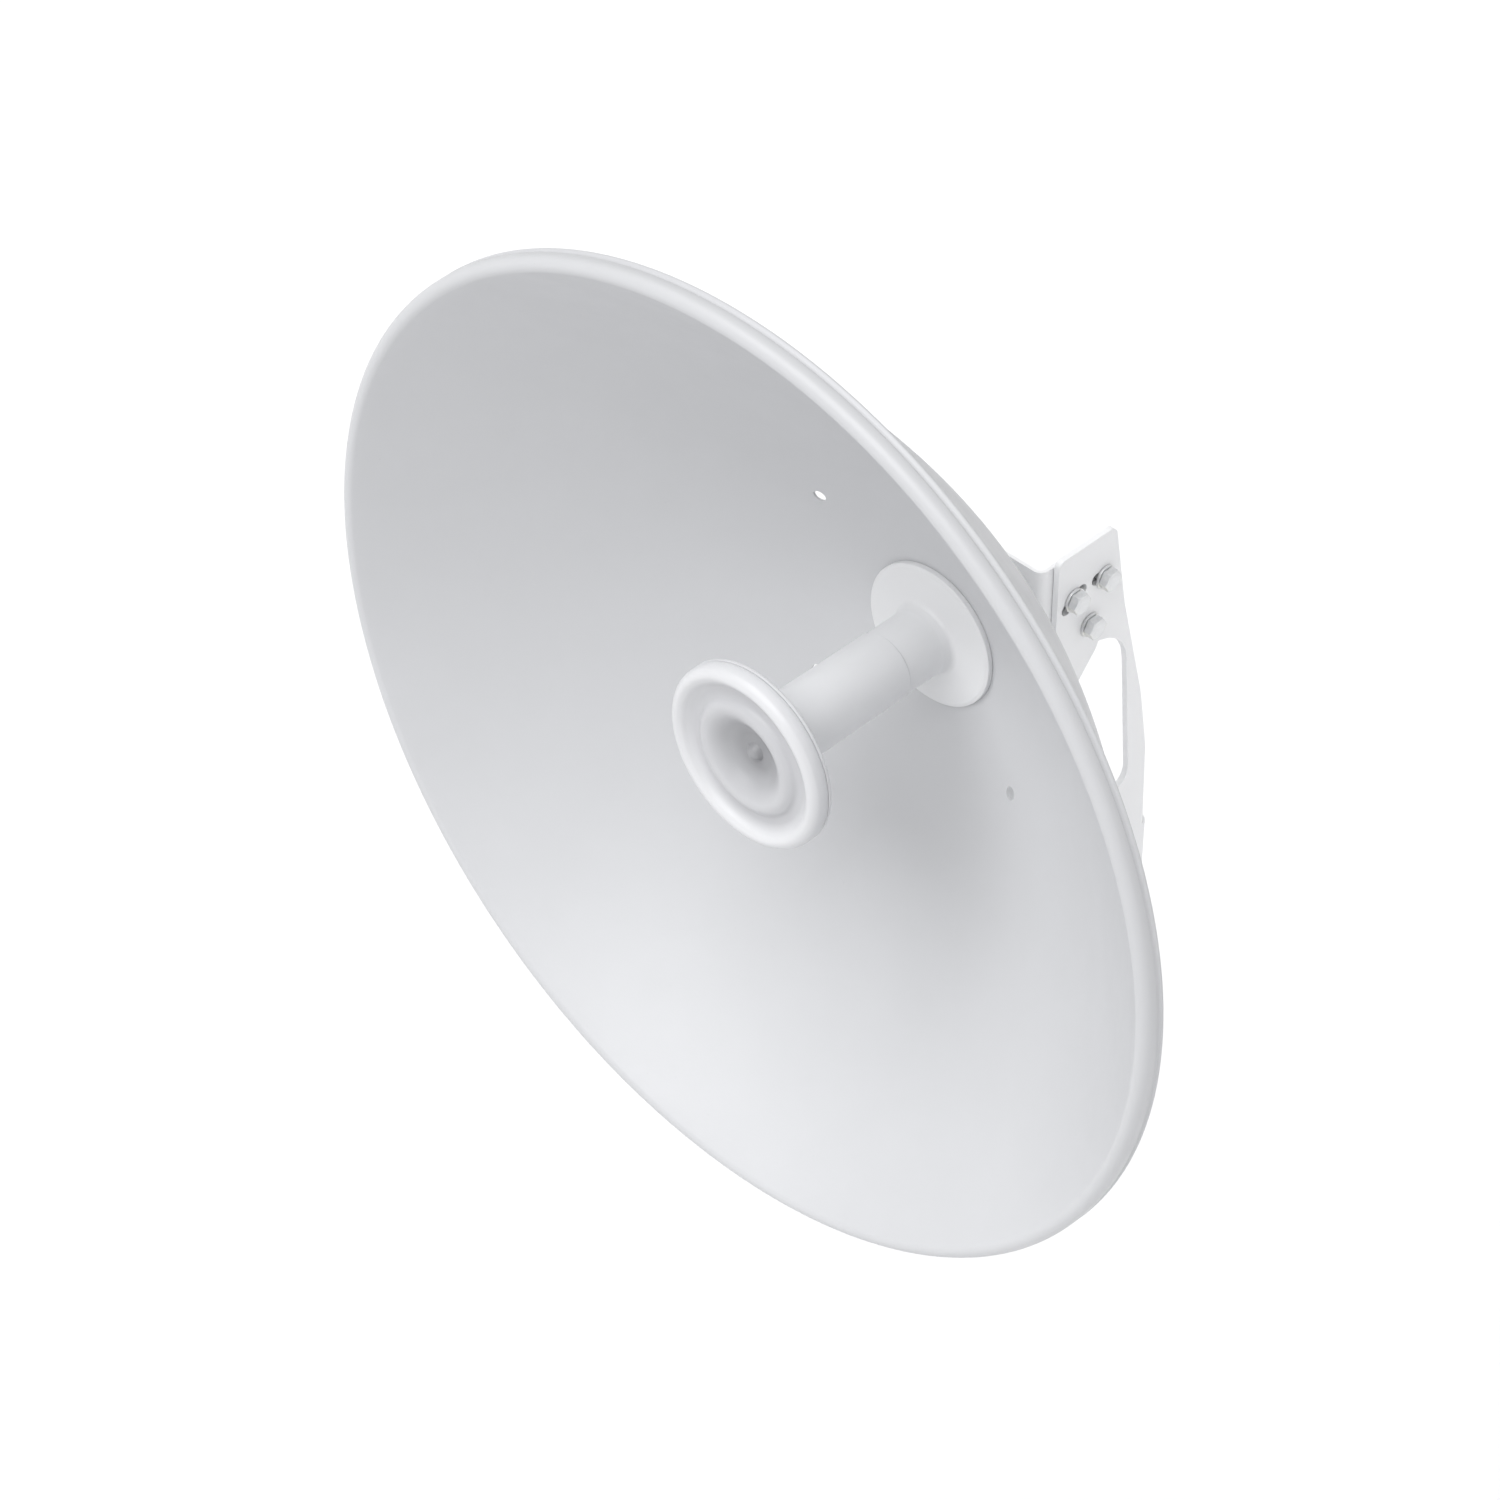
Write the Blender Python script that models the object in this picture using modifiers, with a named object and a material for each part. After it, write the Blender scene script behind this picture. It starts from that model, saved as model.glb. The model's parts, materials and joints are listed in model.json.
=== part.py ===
"""Point-to-point dish antenna: deep round reflector, centre feed on a post,
tilting bracket, single side arm and a two-bolt pole clamp behind it.

World axes: the dish looks along -Y, +X is on the right of someone who faces
the dish, +Z is up.  The world origin is on the pole's axis, halfway up the
clamp.  Inside the script a place is (x, s, z) in millimetres: s is the
distance behind the front plane of the rim, and z the height above the
dish's own axis.
"""
import math

import bmesh
import bpy
from mathutils import Matrix, Vector

MM = 0.001
GAP = 0.3                    # air left between pieces that touch

# --- reflector ---------------------------------------------------------------
RIM_R = 325.0                # outside of the turned-back lip
ROLL_R = 5.5                 # radius that the rim is rolled to
LIP_DEPTH = 11.5             # how far the lip runs back
BOWL_R = 314.0               # radius of the parabola at the front plane
BOWL_DEPTH = 180.0
BOWL_WALL = 1.6
BOWL_HOLE_R = 22.3           # the feed's spigot passes here
SIGHT_HOLE_X = 79.5          # four plain holes around the feed
SIGHT_HOLE_Z = 67.8
SIGHT_HOLE_R = 4.0

# --- feed --------------------------------------------------------------------
FLANGE_R = 48.0
COLLAR_R = 21.4
COLLAR_FRONT = 133.0
TUBE_REAR_R = 22.2
TUBE_FRONT_R = 23.4
TUBE_FRONT = 36.0
TUBE_WALL = 1.5
GUIDE_R = 15.0               # metal waveguide inside the plastic tube
GUIDE_WALL = 1.5
GUIDE_FRONT = 33.0
GUIDE_REAR = 190.0
BORE_R = 15.4                # every hole that the waveguide passes
DISC_R = 60.0
DISC_JOIN = 25.0             # where front cover and cup meet
BLOCK_R = 20.0
BLOCK_REAR = 224.0
PROBE_S = 212.0
FEED_SCREW_CIRCLE = 27.5
SCREW_HOLE_R = 2.35          # clears the M4 feed screws
BRACKET_BOLT_CIRCLE = 38.0
BOLT_HOLE_R = 2.85           # clears the M5 bracket bolts
SPACER_R = 46.0

# --- bracket on the dish -----------------------------------------------------
BRACKET_HALF = 65.0          # outside of its side flange and of its lip
BRACKET_LIP = 209.0          # the left edge is only turned back this far
BRACKET_WALL = 2.5
BRACKET_FRONT = 195.5
BRACKET_REAR = 262.0
BRACKET_TOP = 70.0
BRACKET_BOTTOM = -58.0
BEND_R = 6.0

# --- arm between bracket and pole --------------------------------------------
ARM_OUTSIDE = 69.5           # outer face of the side plate
ARM_WALL = 4.0
ARM_TOP = 75.0
ARM_BOTTOM = -248.0
ARM_FRONT = 206.0
WEB_REAR = 305.0             # the arm's foot, bent across behind the pole
WEB_TOP = -188.0
WEB_LEFT = -46.0

# --- elevation joint ---------------------------------------------------------
PIVOT_S = 236.0
PIVOT_Z = 12.0
LOCK_RADIUS = 32.0           # lock bolts ride on this circle around the pivot
LOCK_ANGLES = {"rear": 69.0, "front": 119.0}    # degrees up from straight back
TILT = 12.0                  # degrees of travel each way
M8_R = 4.0
M8_HOLE_R = 4.45

# --- pole clamp --------------------------------------------------------------
POLE_S = 253.0
POLE_Z = -214.0
POLE_R = 25.0                # the thickest pole that the U-bolts pass over
U_BOLT_R = 4.0
U_LEG_X = POLE_R + U_BOLT_R
U_LEG_END = 324.0
U_BOLT_PITCH = 28.0
SADDLE_FRONT = 267.0
SADDLE_HALF = 24.4
SADDLE_HEIGHT = 44.0

WASHER_T = 1.6
WASHER_R = 8.0
NUT_T = 6.5
NUT_FLATS = 13.0
HEAD_T = 5.3

FACE_FRONT = Matrix.Rotation(math.radians(90), 4, "X")    # local +Z looks forward
FACE_BACK = Matrix.Rotation(math.radians(-90), 4, "X")    # local +Z looks back
FACE_RIGHT = Matrix.Rotation(math.radians(90), 4, "Y")    # local +Z looks to +X
FACE_LEFT = Matrix.Rotation(math.radians(-90), 4, "Y")


def at(x, s, z):
    """World place of a point given as (x, s, z) in millimetres."""
    return Vector((x, s - POLE_S, z - POLE_Z)) * MM


def bowl_s(r):
    """Depth of the reflecting surface at radius r."""
    return BOWL_DEPTH * (1.0 - (r / BOWL_R) ** 2)


def arc(cx, cy, radius, start, end, steps):
    """Points of an arc, angles in degrees."""
    turn = [math.radians(start + (end - start) * i / steps) for i in range(steps + 1)]
    return [(cx + radius * math.cos(a), cy + radius * math.sin(a)) for a in turn]


# --- scene and helpers -------------------------------------------------------
for old in list(bpy.data.objects):
    bpy.data.objects.remove(old, do_unlink=True)

PARTS = bpy.data.collections.new("dish_antenna")
CUTTERS = bpy.data.collections.new("cutters")
bpy.context.scene.collection.children.link(PARTS)
bpy.context.scene.collection.children.link(CUTTERS)


def material(name, colour, roughness, metallic):
    mat = bpy.data.materials.new(name)
    mat.use_nodes = True
    shader = mat.node_tree.nodes["Principled BSDF"]
    shader.inputs["Base Color"].default_value = (*colour, 1.0)
    shader.inputs["Roughness"].default_value = roughness
    shader.inputs["Metallic"].default_value = metallic
    return mat


LIGHT_GREY_PAINT = ((0.74, 0.75, 0.76), 0.42, 0.0)
BRACKET_PAINT = ((0.78, 0.79, 0.80), 0.45, 0.0)
WHITE_PLASTIC = ((0.84, 0.84, 0.83), 0.38, 0.0)
ZINC_STEEL = ((0.62, 0.63, 0.64), 0.34, 1.0)
ALUMINIUM = ((0.72, 0.73, 0.74), 0.36, 1.0)
BRASS = ((0.72, 0.56, 0.28), 0.3, 1.0)
NICKEL = ((0.68, 0.66, 0.60), 0.24, 1.0)
BLACK_RUBBER = ((0.03, 0.03, 0.03), 0.7, 0.0)
CLEAR_PLASTIC = ((0.88, 0.87, 0.82), 0.4, 0.0)

TILT_AXIS = bpy.data.objects.new("elevation_axis", None)
TILT_AXIS.location = at(0, PIVOT_S, PIVOT_Z)
PARTS.objects.link(TILT_AXIS)


def place(obj, where, turn=None, tilts=False):
    """Put an object at a world place, hung on the elevation axis if it tilts."""
    spot = Matrix.Translation(where)
    if turn is not None:
        spot = spot @ turn
    if tilts:
        obj.parent = TILT_AXIS
        spot = Matrix.Translation(-TILT_AXIS.location) @ spot
    obj.matrix_basis = spot
    return obj


def mesh_object(name, bm, finish=None, collection=None):
    mesh = bpy.data.meshes.new(name)
    bm.to_mesh(mesh)
    bm.free()
    obj = bpy.data.objects.new(name, mesh)
    (collection or PARTS).objects.link(obj)
    if finish:
        obj.data.materials.append(material(name, *finish))
    return obj


def soften(obj, angle=32.0):
    """Smooth shading with crisp edges; works on the base mesh."""
    mesh = obj.data
    for face in mesh.polygons:
        face.use_smooth = True
    mesh.set_sharp_from_angle(angle=math.radians(angle))
    return obj


def turned(name, profile, finish, steps=48, closed=True):
    """Spin a profile of (r, s) points around the local Z axis."""
    bm = bmesh.new()
    verts = [bm.verts.new((r * MM, 0.0, -s * MM)) for r, s in profile]
    for a, b in zip(verts, verts[1:]):
        bm.edges.new((a, b))
    if closed:
        bm.edges.new((verts[-1], verts[0]))
    obj = mesh_object(name, bm, finish)
    screw = obj.modifiers.new("spin", "SCREW")
    screw.steps = steps
    screw.render_steps = steps
    screw.use_merge_vertices = True
    screw.merge_threshold = 1e-5
    screw.use_smooth_shade = True
    return obj


def cylinder(name, radius, low, high, segments=24, collection=None, finish=None):
    """Cylinder along local Z between two heights in millimetres."""
    bm = bmesh.new()
    bmesh.ops.create_cone(
        bm, cap_ends=True, segments=segments,
        radius1=radius * MM, radius2=radius * MM, depth=(high - low) * MM)
    bmesh.ops.translate(bm, verts=bm.verts, vec=(0, 0, (low + high) / 2 * MM))
    return mesh_object(name, bm, finish, collection or CUTTERS)


def prism(name, outline, low, high, finish=None, collection=None):
    """Flat outline of (x, y) points, extruded along local Z, as a mesh."""
    curve = bpy.data.curves.new(name, "CURVE")
    curve.dimensions = "2D"
    curve.fill_mode = "BOTH"
    curve.extrude = (high - low) / 2 * MM
    spline = curve.splines.new("POLY")
    spline.points.add(len(outline) - 1)
    for point, (x, y) in zip(spline.points, outline):
        point.co = (x * MM, y * MM, 0.0, 1.0)
    spline.use_cyclic_u = True
    raw = bpy.data.objects.new(name + "_outline", curve)
    bpy.context.scene.collection.objects.link(raw)
    bpy.context.view_layer.update()
    seen = raw.evaluated_get(bpy.context.evaluated_depsgraph_get())
    mesh = bpy.data.meshes.new_from_object(seen)
    bpy.data.objects.remove(raw, do_unlink=True)
    bm = bmesh.new()
    bm.from_mesh(mesh)
    bpy.data.meshes.remove(mesh)
    bmesh.ops.remove_doubles(bm, verts=bm.verts, dist=1e-6)
    bmesh.ops.translate(bm, verts=bm.verts, vec=(0, 0, (low + high) / 2 * MM))
    return mesh_object(name, bm, finish, collection)


def boolean(obj, tool, operation="DIFFERENCE"):
    """Cut or join with a tool object that stays in the cutters collection."""
    tool.hide_render = True
    tool.display_type = "WIRE"
    mod = obj.modifiers.new(operation.lower(), "BOOLEAN")
    mod.operation = operation
    mod.solver = "EXACT"
    mod.object = tool
    return obj


def ring_of(count, radius, start=0.0):
    """Points (x, z) evenly round a circle."""
    turn = [math.radians(start + 360.0 * i / count) for i in range(count)]
    return [(radius * math.cos(a), radius * math.sin(a)) for a in turn]


def drill(obj, name, radius, x, z, front, rear, tilts=True, segments=24):
    """Round hole along the boresight between two depths s."""
    tool = cylinder(name, radius, -rear, -front, segments)
    place(tool, at(x, 0, z), FACE_FRONT, tilts)
    return boolean(obj, tool)


def drill_side(obj, name, radius, s, z, tilts=False):
    """Round hole along X through the plate on the right."""
    tool = cylinder(name, radius, 50, 80)
    place(tool, at(0, s, z), FACE_RIGHT, tilts)
    return boolean(obj, tool)


# --- reflector ---------------------------------------------------------------
def make_reflector():
    roll_centre = RIM_R - ROLL_R
    slope = math.atan(2.0 * BOWL_DEPTH / BOWL_R)
    join = roll_centre - ROLL_R * math.sin(slope)
    roll_s = bowl_s(join) + ROLL_R * math.cos(slope)
    roll = arc(roll_centre, roll_s, ROLL_R, -90 - math.degrees(slope), 0, 5)
    rings = 8
    radii = [BOWL_HOLE_R, 30.0, 38.0, FLANGE_R]
    radii += [FLANGE_R + (join - FLANGE_R) * i / rings for i in range(1, rings)]
    bowl = [(r, bowl_s(r)) for r in radii]
    obj = turned("reflector", bowl + roll + [(RIM_R, LIP_DEPTH)], LIGHT_GREY_PAINT, 72, closed=False)
    wall = obj.modifiers.new("wall", "SOLIDIFY")
    wall.thickness = BOWL_WALL * MM
    wall.offset = -1.0
    place(obj, at(0, 0, 0), FACE_FRONT, tilts=True)
    corners = [(sx * SIGHT_HOLE_X, sz * SIGHT_HOLE_Z) for sx in (-1, 1) for sz in (-1, 1)]
    for i, (x, z) in enumerate(corners):
        drill(obj, f"sight_hole_{i + 1}", SIGHT_HOLE_R, x, z, 140, 190)
    for i, (x, z) in enumerate(ring_of(4, FEED_SCREW_CIRCLE)):
        drill(obj, f"bowl_screw_hole_{i + 1}", SCREW_HOLE_R, x, z, 160, 190, segments=16)
    for i, (x, z) in enumerate(ring_of(4, BRACKET_BOLT_CIRCLE, 45)):
        drill(obj, f"bowl_bolt_hole_{i + 1}", BOLT_HOLE_R, x, z, 160, 190, segments=16)


# --- feed --------------------------------------------------------------------
def make_feed_base():
    seat_outer = 31.5
    pocket_outer = 43.8
    pocket_roof = 173.0
    spigot_r = 22.0
    spigot_end = 184.0
    lift = 1.6                               # room for the gasket
    edge_gap = 0.5                           # the edge outside the gasket nearly touches
    edge_inner = 46.9
    profile = [
        (BORE_R, COLLAR_FRONT), (COLLAR_R - 0.8, COLLAR_FRONT), (COLLAR_R, COLLAR_FRONT + 0.8),
        (COLLAR_R + 0.3, 164.0), (COLLAR_R + 1.4, 167.4), (25.4, 169.4),
        (45.6, 171.3), (47.4, 171.9), (FLANGE_R, 172.9),
        (FLANGE_R, bowl_s(FLANGE_R) - edge_gap), (edge_inner, bowl_s(edge_inner) - edge_gap),
        (edge_inner, bowl_s(edge_inner) - lift), (pocket_outer, bowl_s(pocket_outer) - lift),
        (pocket_outer, pocket_roof),
        (seat_outer, pocket_roof), (seat_outer, bowl_s(seat_outer) - GAP),
        (spigot_r, bowl_s(spigot_r) - GAP), (spigot_r, spigot_end), (BORE_R, spigot_end)]
    obj = turned("feed_base", profile, WHITE_PLASTIC, 40)
    place(obj, at(0, 0, 0), FACE_FRONT, tilts=True)
    for i, (x, z) in enumerate(ring_of(4, FEED_SCREW_CIRCLE)):
        drill(obj, f"base_screw_hole_{i + 1}", 2.2, x, z, 172.0, 190, segments=16)


def make_feed_gasket():
    inner = 44.2
    outer = 46.6
    profile = [
        (outer, bowl_s(outer) - 1.3), (outer, bowl_s(outer) - GAP),
        (inner, bowl_s(inner) - GAP), (inner, bowl_s(inner) - 1.3)]
    obj = turned("feed_base_gasket", profile, BLACK_RUBBER, 40)
    place(obj, at(0, 0, 0), FACE_FRONT, tilts=True)


def make_feed_tube():
    rear = COLLAR_FRONT - GAP
    outside = [
        (TUBE_FRONT_R, TUBE_FRONT), (TUBE_FRONT_R - 0.6, TUBE_FRONT + 18),
        (TUBE_FRONT_R - 1.0, TUBE_FRONT + 48), (TUBE_REAR_R, rear)]
    profile = outside + [(r - TUBE_WALL, s) for r, s in reversed(outside)]
    obj = turned("feed_tube", profile, WHITE_PLASTIC, 36)
    place(obj, at(0, 0, 0), FACE_FRONT, tilts=True)


def make_waveguide_tube():
    inner = GUIDE_R - GUIDE_WALL
    profile = [(GUIDE_R, GUIDE_FRONT), (GUIDE_R, GUIDE_REAR), (inner, GUIDE_REAR), (inner, GUIDE_FRONT)]
    obj = turned("waveguide_tube", profile, ALUMINIUM, 32)
    place(obj, at(0, 0, 0), FACE_FRONT, tilts=True)


def make_feed_cup():
    neck_r = 26.0
    spigot_r = 57.6
    spigot_inner = 55.6
    spigot_front = DISC_JOIN - 3.0
    profile = [
        (spigot_r, spigot_front), (spigot_r, DISC_JOIN + GAP), (DISC_R, DISC_JOIN + GAP),
        (DISC_R, DISC_JOIN + 2.0), (DISC_R - 1.4, DISC_JOIN + 3.6), (neck_r + 2, TUBE_FRONT - 1.6),
        (neck_r, TUBE_FRONT - GAP), (BORE_R, TUBE_FRONT - GAP), (BORE_R, TUBE_FRONT - 2.2),
        (neck_r + 1, TUBE_FRONT - 3.6), (spigot_inner, DISC_JOIN + 1.8), (spigot_inner, spigot_front)]
    obj = turned("feed_cup", profile, WHITE_PLASTIC, 40)
    place(obj, at(0, 0, 0), FACE_FRONT, tilts=True)


def make_feed_front_cover():
    # radius, then height in front of the joint: boss, recess, ridge, groove and rim
    face = [
        (0.0, 1.8), (5.0, 1.8), (7.0, -0.2), (13.0, -0.8), (19.0, 1.4), (24.0, 5.4),
        (29.0, 8.4), (33.0, 9.4), (36.5, 8.2), (38.6, 5.8), (41.0, 4.8), (46.0, 5.0),
        (49.0, 7.2), (51.4, 9.8), (54.0, 11.0), (56.8, 10.4), (59.0, 8.2), (DISC_R, 5.0),
        (DISC_R, 0.0)]
    profile = [(r, DISC_JOIN - height) for r, height in face]
    obj = turned("feed_front_cover", profile, WHITE_PLASTIC, 32, closed=False)
    wall = obj.modifiers.new("wall", "SOLIDIFY")
    wall.thickness = 1.7 * MM
    wall.offset = -1.0
    place(obj, at(0, 0, 0), FACE_FRONT, tilts=True)


def make_front_cover_seal():
    outer = 58.0
    inner = 56.0
    front = DISC_JOIN - 4.8
    rear = DISC_JOIN - 3.3
    profile = [(outer, front), (outer, rear), (inner, rear), (inner, front)]
    obj = turned("front_cover_seal", profile, BLACK_RUBBER, 32)
    place(obj, at(0, 0, 0), FACE_FRONT, tilts=True)


def make_subreflector_plate():
    front = DISC_JOIN + 3.2
    radius = 38.0
    profile = [(0.0, front), (radius, front), (radius, front + 1.2), (0.0, front + 1.2)]
    obj = turned("subreflector_plate", profile, ALUMINIUM, 32, closed=False)
    place(obj, at(0, 0, 0), FACE_FRONT, tilts=True)


def make_dielectric_cone():
    front = DISC_JOIN + 4.7
    radius = 13.0
    profile = [(0.0, front), (radius, front), (radius, front + 11.3), (0.0, front + 39.3)]
    obj = turned("dielectric_cone", profile, CLEAR_PLASTIC, 20, closed=False)
    place(obj, at(0, 0, 0), FACE_FRONT, tilts=True)


def make_waveguide_block():
    inner = GUIDE_R - GUIDE_WALL
    front = 184.4
    profile = [
        (BLOCK_R, front), (BLOCK_R, BLOCK_REAR - 1.5), (BLOCK_R - 1.5, BLOCK_REAR),
        (0.0, BLOCK_REAR), (0.0, BLOCK_REAR - 3.5), (inner, BLOCK_REAR - 3.5),
        (inner, GUIDE_REAR + GAP), (BORE_R, GUIDE_REAR + GAP), (BORE_R, front)]
    obj = turned("waveguide_block", profile, ALUMINIUM, 32)
    place(obj, at(0, 0, 0), FACE_FRONT, tilts=True)
    for side, turn in CONNECTOR_TURNS.items():
        tool = cylinder(f"probe_hole_{side}", 2.4, 10, 24, 16)
        place(tool, at(0, PROBE_S, 0), turn, tilts=True)
        boolean(obj, tool)


# Connectors point down to the left and down to the right, square to each other.
CONNECTOR_TURNS = {
    "a": Matrix.Rotation(math.radians(-135), 4, "Y"),
    "b": Matrix.Rotation(math.radians(135), 4, "Y"),
}
CONNECTOR_END = 40.0


def make_connector(side, turn):
    hole = 0.9
    profile = [
        (2.1, -17.2), (2.1, -(BLOCK_R + 0.4)), (7.4, -(BLOCK_R + 0.4)), (7.4, -23.0),
        (4.7, -23.0), (4.7, -25.0), (5.2, -25.6), (5.2, -(CONNECTOR_END - 0.8)),
        (4.6, -CONNECTOR_END), (3.3, -CONNECTOR_END), (3.3, -31.0), (hole, -31.0), (hole, -17.2)]
    body = turned(f"rf_connector_{side}", list(reversed(profile)), NICKEL, 20)
    place(body, at(0, PROBE_S, 0), turn, tilts=True)
    pin = cylinder(f"waveguide_probe_{side}", 0.65, 5.0, 36.0, 12, PARTS, BRASS)
    place(pin, at(0, PROBE_S, 0), turn, tilts=True)


def make_hub_spacer():
    inner = 23.0
    behind = BOWL_WALL + 0.1 + GAP
    front = [inner + (SPACER_R - inner) * i / 4 for i in range(5)]
    rear = BRACKET_FRONT - GAP
    profile = [(r, bowl_s(r) + behind) for r in front] + [(SPACER_R, rear), (inner, rear)]
    obj = turned("hub_spacer", profile, ALUMINIUM, 40)
    place(obj, at(0, 0, 0), FACE_FRONT, tilts=True)
    for i, (x, z) in enumerate(ring_of(4, FEED_SCREW_CIRCLE)):
        drill(obj, f"spacer_screw_hole_{i + 1}", SCREW_HOLE_R, x, z, 170, 200, segments=16)
    for i, (x, z) in enumerate(ring_of(4, BRACKET_BOLT_CIRCLE, 45)):
        drill(obj, f"spacer_bolt_hole_{i + 1}", BOLT_HOLE_R, x, z, 170, 200, segments=16)


def make_feed_screws():
    head = BRACKET_FRONT + BRACKET_WALL + GAP
    for i, (x, z) in enumerate(ring_of(4, FEED_SCREW_CIRCLE)):
        profile = [
            (0.0, 173.0), (2.0, 173.0), (2.0, head), (3.7, head), (3.7, head + 1.8),
            (2.6, head + 2.7), (0.0, head + 2.9)]
        obj = turned(f"feed_screw_{i + 1}", profile, ZINC_STEEL, 12, closed=False)
        place(obj, at(x, 0, z), FACE_FRONT, tilts=True)


def make_bracket_bolts():
    seat = bowl_s(BRACKET_BOLT_CIRCLE + 4.8) - GAP
    nut_front = BRACKET_FRONT + BRACKET_WALL + GAP
    for i, (x, z) in enumerate(ring_of(4, BRACKET_BOLT_CIRCLE, 45)):
        profile = [
            (0.0, seat - 2.4), (3.2, seat - 2.2), (4.6, seat - 1.0), (4.6, seat),
            (2.5, seat), (2.5, nut_front + 5.0), (2.1, nut_front + 5.4), (0.0, nut_front + 5.4)]
        bolt = turned(f"bracket_bolt_{i + 1}", profile, ZINC_STEEL, 12, closed=False)
        place(bolt, at(x, 0, z), FACE_FRONT, tilts=True)
        nut = hex_nut(f"bracket_nut_{i + 1}", 8.0, 4.0, 2.65)
        place(nut, at(x, nut_front, z), FACE_BACK, tilts=True)


# --- fasteners ---------------------------------------------------------------
def hexagon(flats):
    """Corner radius of a hexagon from its size across flats."""
    return flats / math.sqrt(3.0)


def hex_nut(name, flats, height, hole_r):
    """Nut standing on local Z = 0."""
    obj = cylinder(name, hexagon(flats), 0, height, 6, PARTS, ZINC_STEEL)
    bevel = obj.modifiers.new("edge", "BEVEL")
    bevel.width = 0.35 * MM
    bevel.segments = 1
    bevel.limit_method = "ANGLE"
    bevel.angle_limit = math.radians(80)
    tool = cylinder(name + "_hole", hole_r, -2, height + 2, 16)
    tool.parent = obj
    return boolean(obj, tool)


def hex_bolt(name, length):
    """M8 bolt: head stands on local Z = 0, shank runs down from it."""
    obj = cylinder(name, hexagon(NUT_FLATS), 0, HEAD_T, 6, PARTS, ZINC_STEEL)
    bevel = obj.modifiers.new("edge", "BEVEL")
    bevel.width = 0.5 * MM
    bevel.segments = 1
    bevel.limit_method = "ANGLE"
    bevel.angle_limit = math.radians(80)
    shank = cylinder(name + "_shank", M8_R, -length, 1.0, 16)
    shank.parent = obj
    return boolean(obj, shank, "UNION")


def washer(name):
    """M8 washer standing on local Z = 0."""
    ring = [(WASHER_R, -WASHER_T), (WASHER_R, 0.0), (M8_R + 0.3, 0.0), (M8_R + 0.3, -WASHER_T)]
    return turned(name, ring, ZINC_STEEL, 20)


def make_side_bolt(label, s, z, tilts):
    """Bolt, washer and nut that hold the bracket's flange on the arm."""
    outer = ARM_OUTSIDE + GAP
    inner = BRACKET_HALF - BRACKET_WALL - GAP
    head = outer + WASHER_T + GAP
    length = head - inner + NUT_T + 4.0
    place(hex_bolt(f"{label}_bolt", length), at(head, s, z), FACE_RIGHT, tilts)
    place(washer(f"{label}_washer"), at(outer, s, z), FACE_RIGHT, tilts)
    nut = hex_nut(f"{label}_nut", NUT_FLATS, NUT_T, M8_R + 0.15)
    place(nut, at(inner, s, z), FACE_LEFT, tilts)


# --- bent sheet metal --------------------------------------------------------
def bent_sheet(name, path, wall, low, high, finish):
    """Sheet that follows a path of (x, s) points, upright between two heights."""
    bm = bmesh.new()
    base = at(0, 0, 0)
    rows = []
    for z in (low, high):
        rows.append([bm.verts.new(at(x, s, z) - base) for x, s in path])
    for i in range(len(path) - 1):
        bm.faces.new((rows[0][i], rows[0][i + 1], rows[1][i + 1], rows[1][i]))
    obj = mesh_object(name, bm, finish)
    sheet = obj.modifiers.new("sheet", "SOLIDIFY")
    sheet.thickness = wall * MM
    sheet.offset = 0.0
    sheet.use_even_offset = True
    return obj


SIDEWAYS = Matrix(((0, 0, 1, 0), (1, 0, 0, 0), (0, 1, 0, 0), (0, 0, 0, 1)))


def shape_side(obj, name, outline, operation="DIFFERENCE", tilts=False, low=-80, high=80):
    """Cut a sheet with an outline of (s, z) points, extruded across X."""
    tool = prism(name, outline, low, high, collection=CUTTERS)
    place(tool, at(0, 0, 0), SIDEWAYS, tilts)
    return boolean(obj, tool, operation)


def lock_place(angle):
    """Where a lock bolt stands for an angle around the pivot."""
    a = math.radians(angle)
    return PIVOT_S + LOCK_RADIUS * math.cos(a), PIVOT_Z + LOCK_RADIUS * math.sin(a)


def arc_slot(angle):
    """Slot that a lock bolt travels in."""
    low = angle - TILT - 1.0
    high = angle + TILT + 1.0
    outer = arc(PIVOT_S, PIVOT_Z, LOCK_RADIUS + M8_HOLE_R, low, high, 8)
    inner = arc(PIVOT_S, PIVOT_Z, LOCK_RADIUS - M8_HOLE_R, high, low, 8)
    cap_high = arc(*lock_place(high), M8_HOLE_R, high, high + 180, 6)[1:-1]
    cap_low = arc(*lock_place(low), M8_HOLE_R, low + 180, low + 360, 6)[1:-1]
    return outer + cap_high + inner + cap_low


def rounded(corners, steps=6):
    """Outline through (s, z, radius) corners with each corner rounded."""
    points = []
    count = len(corners)
    for i, (cx, cy, radius) in enumerate(corners):
        here = Vector((cx, cy))
        before = Vector(corners[i - 1][:2]) - here
        after = Vector(corners[(i + 1) % count][:2]) - here
        if radius <= 0:
            points.append((cx, cy))
            continue
        half_angle = before.angle(after) / 2
        reach = radius / math.tan(half_angle)
        start = here + before.normalized() * reach
        end = here + after.normalized() * reach
        inward = (before.normalized() + after.normalized()).normalized()
        centre = here + inward * (radius / math.sin(half_angle))
        a0 = math.atan2(start.y - centre.y, start.x - centre.x)
        a1 = math.atan2(end.y - centre.y, end.x - centre.x)
        sweep = (a1 - a0 + math.pi) % (2 * math.pi) - math.pi
        for k in range(steps + 1):
            a = a0 + sweep * k / steps
            points.append((centre.x + radius * math.cos(a), centre.y + radius * math.sin(a)))
    return points


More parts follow.
